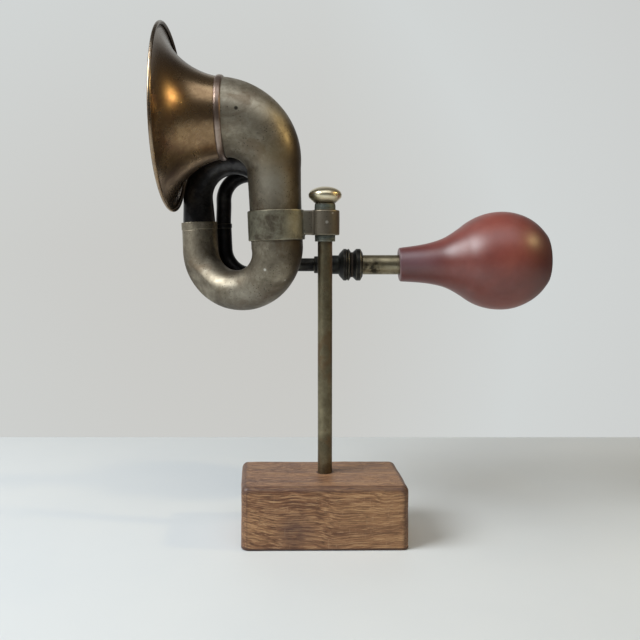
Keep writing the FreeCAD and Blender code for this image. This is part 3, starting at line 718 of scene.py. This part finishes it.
# Painted shade: the inlet, reed socket and union nut coloured near-black as shaded behind the horn.
dark_brass = aged_brass("dark_brass", BLACK_DARK, rgb(0.036, 0.034, 0.029), rgb(0.105, 0.1, 0.08),
                        rough=(0.36, 0.55), metallic=0.8, wear=0.5, stain=rgb(0.06, 0.07, 0.056), seed=2.4)
tube_brass = aged_brass("bulb_tube_brass", rgb(0.15, 0.125, 0.08), rgb(0.28, 0.24, 0.155),
                        rgb(0.4, 0.36, 0.255), rough=(0.32, 0.46), specks=0.6,
                        marks_and_painted_light=[(cloudy_patch((42, 50, 220), 13), rgb(0.03, 0.024, 0.016), 0.95)], seed=2.7)
reed_brass = aged_brass("reed_brass", rgb(0.3, 0.23, 0.12), rgb(0.48, 0.38, 0.21), rgb(0.62, 0.52, 0.31),
                        rough=(0.2, 0.34), seed=3.0)


# ------------------------------------------------------------------ stand
def make_block(material):
    """Hand-cut block: well rounded on top and at the corners, worn uneven, bored for the rod."""
    work = bmesh.new()
    low = [work.verts.new(Vector((x, y, 0)) * MM) for x, y in BLOCK_PLAN]
    high = [work.verts.new(Vector((x, y, BLOCK_HEIGHT)) * MM) for x, y in BLOCK_PLAN]
    work.faces.new(low[::-1])
    work.faces.new(high)
    for k in range(4):
        n = (k + 1) % 4
        work.faces.new((low[k], low[n], high[n], high[k]))

    def soften(chosen, radius):
        bmesh.ops.bevel(work, geom=chosen, offset=radius * MM, segments=6, profile=0.5, affect="EDGES",
                        clamp_overlap=True)

    def flat_at(z):
        return [e for e in work.edges if all(abs(v.co.z - z * MM) < 1e-6 for v in e.verts)]

    soften([e for e in work.edges if abs(e.verts[0].co.z - e.verts[1].co.z) > 1e-3], 6.0)
    soften([e for e in flat_at(BLOCK_HEIGHT) if len(e.link_faces) == 2 and not all(
        abs(f.normal.z) > 0.9 for f in e.link_faces)], 6.5)
    soften(flat_at(0), 1.2)
    even = resurfaced("block_even", poured("block_helper", work), 0.9, 4, material)

    def worn(place):
        if place.z <= 2:
            return 0.0
        return -0.35 - 0.45 * noise.noise(place / 26.0) - 0.1 * noise.noise(place / 7.0)

    pushed(even.data, worn)
    drill = lathe("drill", rounded([(-0.6, 0), (-0.6, ROD_R + 0.9), (0, ROD_R + 0.15),
                                    (ROD_DEPTH, ROD_R + 0.15), (ROD_DEPTH, 0)], 0.1, False),
                  material, Vector((0, 0, BLOCK_HEIGHT)), -Z_AXIS, 64, closed=False)
    made = joined("wood_block", even, [], [drill], material)
    mark_corners(made.data, 0.9 * MM)
    return made


def make_rod(material):
    corners = [(BLOCK_HEIGHT - ROD_DEPTH + 0.1, 0), (BLOCK_HEIGHT - ROD_DEPTH + 0.1, ROD_R),
               (ROD_SHOULDER_Z, ROD_R), (ROD_SHOULDER_Z, SPINDLE_R), (SPINDLE_TOP_Z, SPINDLE_R),
               (SPINDLE_TOP_Z, 0)]

    def drawn(spot, a):
        return spot + Vector((noise.noise(spot / 40.0), noise.noise(spot / 37.0 + X_AXIS * 9), 0)) * 0.08

    return lathe("stand_rod_piece", rounded(corners, 0.4, False), material, sides=72, closed=False,
                 shape=drawn)


def make_collar(name, bottom, low_r, high_r, material):
    bore, top = SPINDLE_R + FIT, bottom + COLLAR_HEIGHT
    corners = [(bottom, bore), (bottom, low_r), (bottom + 1.2, low_r), (bottom + 1.5, low_r - 0.25),
               (bottom + 1.8, low_r), (top, high_r), (top, bore)]
    return lathe(name, rounded(corners, 0.45, True), material)


def make_knob(bottom, material):
    """Flattened ball on a cone, with a fine line turned at its widest."""
    middle = bottom + KNOB_HALF_HEIGHT
    cone = [(bottom, SPINDLE_R + FIT), (bottom, KNOB_NECK_R), (middle - 2.6, KNOB_R - 0.9)]
    points = rounded(cone, 0.3, False)
    points += [(middle + rise, KNOB_R - inset, edge) for rise, inset, edge in (
        (-1.6, 0.32, 0.0), (-0.7, 0.05, 0.1), (-0.25, 0.08, -0.5), (0.0, 0.3, -1.0), (0.25, 0.08, -0.5))]
    for i in range(1, 33):
        a = pi / 2 * i / 32
        points.append((middle + KNOB_HALF_HEIGHT * sin(a), KNOB_R * cos(a) if i < 32 else 0.0, 0.0))
    inside = SPINDLE_TOP_Z + 0.5
    points = [(inside, 0.0, 0.0), (inside, SPINDLE_R + FIT, 0.0)] + points
    return lathe("finial_knob_piece", points, material, closed=False)


# ------------------------------------------------------------------ clamp
def make_clamp(material):
    """Cast bracket: band round the horn, flat arm and round boss, with soft inner corners."""
    low = ROD_SHOULDER_Z + COLLAR_HEIGHT + FIT
    height = BAND_HALF_HEIGHT
    centre, axis = HORN.translation, HORN.to_3x3() @ Z_AXIS
    band = peg("band", -height, height, LIMB_R + BAND_WALL, 0.8, material, centre, axis)
    boss = peg("boss", low, BOSS_TOP_Z, BOSS_R, 0.9, material)
    work = bmesh.new()
    bmesh.ops.create_cube(work, size=1.0)
    size = Vector((-BAND_X, 2 * ARM_HALF_WIDTH, BOSS_TOP_Z - low - 0.6))
    for v in work.verts:
        v.co = (Vector((BAND_X / 2, 0, (BOSS_TOP_Z + low) / 2)) + Vector(
            (v.co.x * size.x, v.co.y * size.y, v.co.z * size.z))) * MM
    bmesh.ops.bevel(work, geom=[e for e in work.edges if abs(e.verts[0].co.x - e.verts[1].co.x) > 1e-3],
                    offset=1.2 * MM, segments=4, profile=0.5, affect="EDGES")
    arm = poured("arm", work)
    bore = peg("bore", -height - 9, height + 9, LIMB_R + BAND_GAP, 0.1, material, centre, axis, 128)
    eye = peg("eye", low - 4, BOSS_TOP_Z + 4, SPINDLE_R + 0.2, 0.1, material)
    solid = joined("clamp_solid", band, [arm, boss], [bore, eye], material)
    made = resurfaced("clamp_casting", solid, 0.38, 6, material)
    pushed(made.data, lambda place: 0.07 * noise.noise(place / 6.0))
    return made


# ------------------------------------------------------------------ coil
def dented(spot, centre):
    """The big bend's sheet: slightly lumpy, with a scraped flat low on the bell side."""
    spot = hammered(0.1, 14.0, 3.0)(spot, centre)
    across = Vector((cos(SCRAPE_TURN), 0, sin(SCRAPE_TURN)))
    path, f = arch(0, LEFT_U, LOW_FRONT_W, 0, FRONT_Y, LEFT_Y), -SCRAPE_TURN / pi
    along = (path(f + 0.01) - path(f - 0.01)).normalized()
    facing = across * 0.72 - Y_AXIS * 0.69
    facing = (facing - along * facing.dot(along)).normalized()
    away = spot - path(f) - facing * (SCRAPE_TUBE_R - SCRAPE_DEPTH)
    depth = away.dot(facing)
    return spot - facing * depth * 0.92 if depth > 0 and away.length < 34 else spot


def make_coil(front, back):
    elbow = [straight((0, FRONT_Y, 0), (0, FRONT_Y, ELBOW_W), LIMB_R, ELBOW_START_R, -0.2),
             (bend(-ELBOW_RADIUS, ELBOW_W, ELBOW_RADIUS, 0, ELBOW_TURN, FRONT_Y, FRONT_Y),
              ELBOW_START_R, BELL_NECK_R, 0.9, ELBOW_RADIUS * ELBOW_TURN)]
    big = [straight((0, FRONT_Y, 0), (0, FRONT_Y, LOW_FRONT_W), LIMB_R, LIMB_R),
           arched(0, LEFT_U, LOW_FRONT_W, 0, FRONT_Y, LEFT_Y, LIMB_R, BIG_BEND_END_R, -1.2),
           straight((LEFT_U, LEFT_Y, LOW_FRONT_W), (LEFT_U, LEFT_Y, JOINT_FRONT_W), BIG_BEND_END_R,
                    SLIP_R + WALL)]
    middle = [straight((LEFT_U, LEFT_Y, JOINT_FRONT_W), (LEFT_U, LEFT_Y, HIGH_MIDDLE_W),
                       SLIP_R, MIDDLE_TOP_R),
              arched(LEFT_U, MIDDLE_U, HIGH_MIDDLE_W, 180, LEFT_Y, MIDDLE_Y,
                     MIDDLE_TOP_R, MIDDLE_END_R, 0.2),
              straight((MIDDLE_U, MIDDLE_Y, HIGH_MIDDLE_W), (MIDDLE_LOW_U, MIDDLE_Y, LOW_BACK_W),
                       MIDDLE_END_R, MIDDLE_FOOT_R)]
    low = [arched(MIDDLE_LOW_U, BACK_U, LOW_BACK_W, 0, MIDDLE_Y, BACK_Y, MIDDLE_FOOT_R, BACK_LOW_R),
           straight((BACK_U, BACK_Y, LOW_BACK_W), (BACK_U, BACK_Y, JOINT_BACK_W), BACK_LOW_R, BACK_LOW_R)]
    high = [straight((BACK_U, BACK_Y, JOINT_BACK_W), (BACK_HIGH_U, BACK_Y, HIGH_BACK_W),
                     BACK_TOP_R, BACK_TOP_R),
            arched(BACK_HIGH_U, INLET_U, HIGH_BACK_W, 180, BACK_Y, STEM_Y, BACK_TOP_R, STEM_R),
            straight((INLET_U, STEM_Y, HIGH_BACK_W), (INLET_U, STEM_Y, JOINT_INLET_W), STEM_R, STEM_R)]
    turn = pi / 2 - HORN_LEAN
    end_u = INLET_U + INLET_BEND_R + INLET_BEND_R * cos(pi + turn)
    end_w = (STEM_Z - BAND_Z - end_u * sin(HORN_LEAN)) / cos(HORN_LEAN)
    centre_w = end_w - INLET_BEND_R * sin(pi + turn)
    inlet = [straight((INLET_U, STEM_Y, JOINT_INLET_W), (INLET_U, STEM_Y, centre_w), STEM_R, STEM_R),
             (bend(INLET_U + INLET_BEND_R, centre_w, INLET_BEND_R, pi, turn, STEM_Y, STEM_Y),
              STEM_R, STEM_R, 0, INLET_BEND_R * turn)]
    plan = [("tube_bell_elbow", elbow, front, "horn_brass", 96, 2.0, hammered(0.12, 16.0, 1.0)),
            ("tube_lower_bend_front", big, front, "horn_brass", 96, 1.5, dented),
            ("tube_upper_bend_middle", middle, back, "dark_brass", 72, 2.0, hammered(0.08, 12.0, 5.0)),
            ("tube_lower_bend_back", low, back, "dark_brass", 56, 2.0, hammered(0.06, 9.0, 7.0)),
            ("tube_upper_bend_back", high, back, "dark_brass", 56, 2.0, hammered(0.06, 9.0, 8.0)),
            ("tube_inlet_elbow", inlet, back, "dark_brass", 56, 1.2, hammered(0.05, 9.0, 9.0))]
    for node, runs, material, slot, sides, spacing, shape in plan:
        made = tube(node + "_piece", runs, material, sides, spacing, shape)
        stand_in(made, "horn", slot, node)


def make_ferrule(node, u, y, w_low, w_high, radius, inner, material, slot):
    """Sleeve over a slip joint, with a worn upper edge."""
    corners = [(w_low, inner), (w_low, radius - 0.25), (w_low + 0.8, radius), (w_high, radius),
               (w_high, inner)]

    def uneven(spot, a):
        return spot + Z_AXIS * (0.16 * sin(a + u) + 0.08 * sin(3 * a))

    axis = HORN.to_3x3() @ Z_AXIS
    centre = HORN @ Vector((u, y, 0))
    made = lathe(node + "_piece", rounded(corners, 0.3, True, longest=2.0), material, centre, axis, 72,
                 shape=uneven)
    stand_in(made, "horn", slot, node)


# ------------------------------------------------------------------ bell
def bell_place():
    neck = Vector((-ELBOW_RADIUS + ELBOW_RADIUS * cos(ELBOW_TURN), FRONT_Y,
                   ELBOW_W + ELBOW_RADIUS * sin(ELBOW_TURN)))
    axis = Vector((-sin(ELBOW_TURN), 0, cos(ELBOW_TURN)))
    return HORN @ neck, HORN.to_3x3() @ axis


def flare(inset):
    """(s, r) outline of the bell from neck to rim, set in by a wall thickness."""
    def widening(a):
        return BELL_CONE_SHARE * sin(a) + (1 - BELL_CONE_SHARE) * (1 - cos(a))

    rise = (BELL_RIM_R - BEAD_R / 2 - BELL_NECK_R) / widening(BELL_FLARE_END)
    points = []
    for i in range(FLARE_STEPS + 1):
        a = BELL_FLARE_END * i / FLARE_STEPS
        s = BELL_LENGTH * sin(a)
        r = BELL_NECK_R + rise * widening(a)
        ds = BELL_LENGTH * cos(a)
        dr = rise * (BELL_CONE_SHARE * cos(a) + (1 - BELL_CONE_SHARE) * sin(a))
        size = hypot(ds, dr)
        points.append((s + inset * dr / size if i else 0.0, r - inset * ds / size))
    return points


def make_bell(material):
    """Spun bell whose rim is rolled back round a wire, leaving a dark gap behind the roll."""
    inside, outside = flare(BELL_WALL), flare(0)
    top = inside[-1][0]
    centre_s = top - BEAD_R
    roll_end, steps = radians(285), 22

    def roll(radius):
        arcs = []
        for i in range(steps + 1):
            a = roll_end * i / steps
            arcs.append((centre_s + radius * cos(a), BELL_RIM_R + radius * sin(a), a))
        return arcs

    points = [(s, r, 0.0) for s, r in inside]
    points += [(s, r, 0.9 * sin(min(a, pi)) ** 0.5 if a < pi else -0.8)
               for s, r, a in roll(BEAD_R)]
    points += [(s, r, -1.0) for s, r, a in reversed(roll(BEAD_R - BELL_WALL))]
    last = len(outside)
    points += [(s, r, -1.0 if i > last - 4 else 0.0) for i, (s, r) in reversed(list(enumerate(outside)))]

    def spun(spot, a):
        """A rim that has been knocked a little out of true."""
        out = (spot.z / BELL_LENGTH) ** 2
        return spot + Vector((0, 0, 0.45 * out * sin(2 * a + 0.6) + 0.25 * out * sin(3 * a + 2.0)))

    neck, axis = bell_place()
    return lathe("bell_piece", points, material, neck, axis, 160, shape=spun)


def make_ring(material):
    """Half-round bead soldered over the joint, with a fine step at its foot."""
    points = []
    for i in range(25):
        a = pi * i / 24
        points.append((-0.6 - RING_HALF_WIDTH * cos(a), RING_R - 1.6 + 1.6 * sin(a) ** 0.8,
                       0.35 * sin(a) - 0.9 * (1 if i in (0, 24) else 0)))
    inner = BELL_NECK_R - WALL / 2
    points = [(points[0][0], inner, -1.0)] + points + [(points[-1][0], inner, -1.0)]
    neck, axis = bell_place()
    return lathe("bell_ring_piece", points, material, neck, axis, 128)


# ------------------------------------------------------------------ union, reed end and bulb
def fitting(node, body, slot, corners, fillet, material):
    """Piece turned on the stem's axis."""
    made = lathe(node + "_piece", rounded(corners, fillet, True, longest=3.0), material, STEM, X_AXIS)
    stand_in(made, body, slot, node)


def sleeve(start, end, radius):
    """Corners of a plain tube."""
    return [(start, radius - WALL), (start, radius), (end, radius), (end, radius - WALL)]


def make_fittings(leather):
    stem_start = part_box("inlet_stem")[0].x / MM
    fitting("inlet_stem", "horn", "dark_brass", sleeve(stem_start, STEM_END_X, STEM_R), 0.2, dark_brass)
    fitting("reed_socket", "horn", "dark_brass", [
        (-9.5, 5.9), (-9.5, 7.3), (-8.6, 7.6), (5.4, 7.6), (6.0, 8.4), (12.4, 8.4), (13.3, 10.2),
        (17.0, 14.2), (19.4, 14.2, 0.25), (20.1, 13.3, 0.15), (20.8, 14.2, 0.25), (21.7, 14.2),
        (23.5, 11.35), (23.5, 7.05), (8.6, 7.05), (8.6, 5.3), (-1.5, 5.3), (-1.5, 5.9)], 0.4, dark_brass)
    fitting("union_gasket", "gasket", "gasket_leather",
            [(23.55, 7.1), (23.55, 11.2), (25.15, 11.2), (25.15, 7.1)], 0.4, leather)
    fitting("union_nut", "fitting", "dark_brass", [
        (9.0, 5.0), (9.0, 7.0), (25.2, 7.0), (25.2, 11.35), (28.3, 14.2), (31.9, 14.2), (33.9, 10.6),
        (33.9, 8.7), (29.0, 8.7), (29.0, 5.0)], 0.5, dark_brass)
    fitting("bulb_tube", "fitting", "bulb_tube_brass", sleeve(29.1, BULB_TUBE_END_X, BULB_TUBE_R), 0.25,
            tube_brass)


def bulb_radius(s):
    """Outside of the bulb at a distance from its mouth: smooth neck, then the belly's ellipse."""
    neck = ((0.0, NECK_R - 2.0), (1.6, NECK_R - 0.3), (5.0, NECK_R + 0.2), (16.0, NECK_R + 1.3),
            (27.0, NECK_R + 3.0), (38.0, NECK_R + 5.9), (46.0, NECK_R + 9.6))

    def belly(s):
        half = BELLY_NEAR if s < BELLY_S else BELLY_FAR
        return BELLY_R * sqrt(max(0.0, 1 - ((s - BELLY_S) / half) ** 2))

    if s >= BELLY_START:
        return belly(s)
    knots = [(-4.0, NECK_R - 4.0), *neck, (BELLY_START, belly(BELLY_START)), (64.0, belly(64.0))]
    for k in range(1, len(knots) - 2):
        (s0, r0), (s1, r1), (s2, r2), (s3, r3) = knots[k - 1:k + 3]
        if s1 <= s <= s2:
            f = (s - s1) / (s2 - s1)
            m1 = (r2 - r0) / (s2 - s0) * (s2 - s1)
            m2 = (r3 - r1) / (s3 - s1) * (s2 - s1)
            return ((2 * f ** 3 - 3 * f ** 2 + 1) * r1 + (f ** 3 - 2 * f ** 2 + f) * m1
                    + (3 * f ** 2 - 2 * f ** 3) * r2 + (f ** 3 - f ** 2) * m2)
    return NECK_R


def make_bulb(material):
    """Squeeze bulb: rolled lip at the neck, hollow, with a flat moulded end round the plug's hole."""
    points = [(s, BULB_TUBE_R + out, edge) for s, out, edge in (
        (34.0, 0.15, 0.0), (1.2, 0.15, -0.6), (0.3, 0.9, -0.2), (0.0, 2.2, 0.2))]
    points.append((0.0, NECK_R - 2.4, 0.6))
    for i in range(1, 7):
        a = pi / 2 * i / 6
        points.append((1.9 - 1.9 * cos(a), NECK_R - 2.2 + 2.1 * sin(a), 0.8 * cos(a)))
    points += [(s, bulb_radius(s), 0.0) for s in (3.4, 5.0)]
    steps = 60
    points += [(s, bulb_radius(s), 0.0) for s in (7 + (BULB_LENGTH - 9.5) * i / steps for i in range(steps))]
    end_r = bulb_radius(BULB_LENGTH)
    shoulder = [(BULB_LENGTH - back, bulb_radius(BULB_LENGTH - back) + out)
                for back, out in ((2.6, 0.1), (1.7, 0.35), (0.9, 0.45), (0.35, 0.15))]
    shoulder += [(BULB_LENGTH - 0.05, end_r - 0.3), (BULB_LENGTH, end_r - 1.2)]
    points += [(s, r, 0.25) for s, r in shoulder]
    points += [(BULB_LENGTH - 0.3, PLUG_R + 2.2, 0.0), (BULB_LENGTH - 0.5, PLUG_R + 0.6, -0.4),
               (BULB_LENGTH - 1.4, PLUG_R + 0.1, -1.0), (BULB_LENGTH - PLUG_DEPTH - 0.7, PLUG_R + 0.1, 0.0)]
    for i in range(25):
        s = BULB_LENGTH - PLUG_DEPTH - 1.5 - (BULB_LENGTH - PLUG_DEPTH - 37.0) * i / 24
        points.append((s, max(9.6, bulb_radius(s) - RUBBER), 0.0))

    def moulded(spot, a):
        """Slight sag and unevenness of old rubber."""
        lump = noise.noise(spot / 30.0 + X_AXIS * 4.0) * 0.35 * min(1.0, max(0.0, (spot.z - 12) / 30))
        flat = Vector((spot.x, spot.y, 0))
        return spot + flat.normalized() * lump if flat.length > 12 else spot

    made = lathe("squeeze_bulb", points, material, BULB_MOUTH, BULB_AXIS, 128, shape=moulded)
    stand_in(made, "bulb", "bulb_rubber", "rubber_bulb")
    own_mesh(made)


def make_plug(material):
    end = BULB_LENGTH - 0.6
    corners = [(end - PLUG_DEPTH, 0), (end - PLUG_DEPTH, PLUG_R), (end, PLUG_R), (end - 0.35, 3.2),
               (end - 0.9, 2.0), (end - 0.9, 0)]
    made = lathe("bulb_plug_piece", rounded(corners, 0.7, False, longest=3.0), material, BULB_MOUTH,
                 BULB_AXIS, closed=False)
    stand_in(made, "bulb_end", "plug_rubber", "bulb_end_plug")


# ------------------------------------------------------------------ build
stand_in(make_block(oiled_wood()), "stand", "wood", "wood_base")
stand_in(make_rod(rod_brass), "stand", "rod_brass", "stand_rod")
stand_in(make_collar("lower_collar_piece", ROD_SHOULDER_Z, COLLAR_R - 0.1, COLLAR_R - 0.1, collar_brass),
         "stand", "collar_brass", "lower_collar")
upper = BOSS_TOP_Z + FIT
stand_in(make_collar("upper_collar_piece", upper, COLLAR_R + 0.2, COLLAR_R - 0.1, collar_brass),
         "lock_collar", "collar_brass", "upper_collar")
stand_in(make_knob(upper + COLLAR_HEIGHT + FIT, knob_brass), "lock_knob", "knob_brass", "finial_knob")
stand_in(make_clamp(clamp_brass), "horn", "clamp_brass", "clamp_bracket")
make_coil(horn_brass, shaded_back_brass)
make_ferrule("ferrule_front", LEFT_U, LEFT_Y, JOINT_FRONT_W - 0.5, JOINT_FRONT_W + 6, SLIP_R + WALL + 0.5,
             SLIP_R - 0.2, horn_brass, "horn_brass")
make_ferrule("ferrule_middle", MIDDLE_LOW_U, MIDDLE_Y, LOW_BACK_W + 0.5, LOW_BACK_W + 5.5,
             MIDDLE_FOOT_R + 0.9, MIDDLE_FOOT_R - 0.2, shaded_back_brass, "dark_brass")
make_ferrule("ferrule_back", BACK_U, BACK_Y, JOINT_BACK_W - 1.5, JOINT_BACK_W + 2.5, BACK_LOW_R + 0.5,
             BACK_TOP_R - 0.2, shaded_back_brass, "dark_brass")
make_ferrule("ferrule_inlet", INLET_U, STEM_Y, JOINT_INLET_W - 2.5, JOINT_INLET_W + 2.5, STEM_R + 0.8,
             STEM_R - 0.2, shaded_back_brass, "dark_brass")
stand_in(make_bell(bell_brass), "horn", "bell_brass", "bell")
stand_in(make_ring(ring_brass), "horn", "bell_brass", "bell_ring")
make_fittings(gasket_leather())
make_bulb(bulb_rubber())
make_plug(plug_rubber())

kept = {"bell_rim_wire": iron_wire(), "clamp_set_screw": clamp_brass, "reed_shallot": reed_brass,
        "reed_wedge": reed_brass, "reed_tongue": reed_brass}
for node, material in kept.items():
    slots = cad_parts[node].data.materials
    slots.clear()
    slots.append(material)


# ------------------------------------------------------------------ table, light and camera
def make_table():
    """Pale painted slab that the stand is on."""
    t = Tree("table_paint")
    cloud = t.noise(3.0, 4.0, 0.6)
    t.colour = t.ramp(cloud, (0.3, rgb(0.565, 0.59, 0.6)), (0.7, rgb(0.61, 0.625, 0.62)))
    paint = t.finish(0.0, 0.6, t.bump(t.noise(60.0, 4.0), 0.2, 0.15))
    work = bmesh.new()
    bmesh.ops.create_cube(work, size=1.0)
    low, high = Vector((-1.4, -1.2, -0.04)), Vector((1.4, 0.315, 0.0))
    for v in work.verts:
        v.co = Vector([a + (b - a) * (c + 0.5) for a, b, c in zip(low, high, v.co)])
    table = poured("table", work)
    table.data.materials.append(paint)


WALL_FADE_RIGHT, WALL_FADE_UP = 0.6, 0.3


def make_world():
    """Pale wall behind the object; the room is dim above, to the right and towards the camera."""
    t = Tree("room", bpy.data.worlds, "Generated")
    bpy.context.scene.world = t.owner
    way = t.node("ShaderNodeSeparateXYZ", Vector=t.place).outputs
    openness = way["Y"]
    for axis, weight in (("X", WALL_FADE_RIGHT), ("Z", WALL_FADE_UP)):
        openness = t.minus(openness, t.times(t.math("MAXIMUM", way[axis], 0.0), weight))
    share = t.node("ShaderNodeMapRange", From_Min=-1.0, Value=openness).outputs[0]
    colour = t.ramp(share, (0.0, rgb(0.06, 0.056, 0.052)), (0.4, rgb(0.085, 0.08, 0.075)),
                    (0.6, rgb(0.11, 0.105, 0.1)), (0.69, rgb(0.24, 0.24, 0.235)),
                    (0.765, rgb(0.6, 0.61, 0.6)), (0.9, rgb(0.64, 0.665, 0.66)),
                    (1.0, rgb(0.585, 0.58, 0.555)))
    t.feed(t.nodes["Background"].inputs["Color"], colour)


def area_light(name, place, target, size, power, colour):
    data = bpy.data.lights.new(name, "AREA")
    data.shape, data.size, data.size_y = "RECTANGLE", size[0], size[1]
    data.energy, data.color = power, colour
    lamp = put(name, data)
    lamp.location = place
    lamp.rotation_mode = "QUATERNION"
    lamp.rotation_quaternion = (Vector(target) - Vector(place)).to_track_quat("-Z", "Y")


def make_camera():
    data = bpy.data.cameras.new("camera")
    data.sensor_width, data.lens = 36.0, 41.625
    camera = put("camera", data)
    camera.location = (-0.0041, -0.606, 0.2365)
    camera.rotation_euler = (radians(90 - 5.4), 0, 0)
    bpy.context.scene.camera = camera


make_table()
make_world()
area_light("window", (-1.1, -0.45, 1.22), (-0.03, 0, 0.2), (0.9, 0.9), 34, (0.93, 0.97, 1.0))
area_light("lamp", (0.96, -0.16, 0.83), (-0.09, 0, 0.34), (0.06, 0.06), 3.0, (1.0, 0.76, 0.36))
area_light("room", (0.25, -0.75, 1.7), (0.15, -0.1, 0), (1.5, 1.2), 9.5, (0.9, 0.95, 1.0))
make_camera()
bpy.context.scene.view_settings.view_transform = "Standard"
bpy.context.scene.view_settings.look = "None"
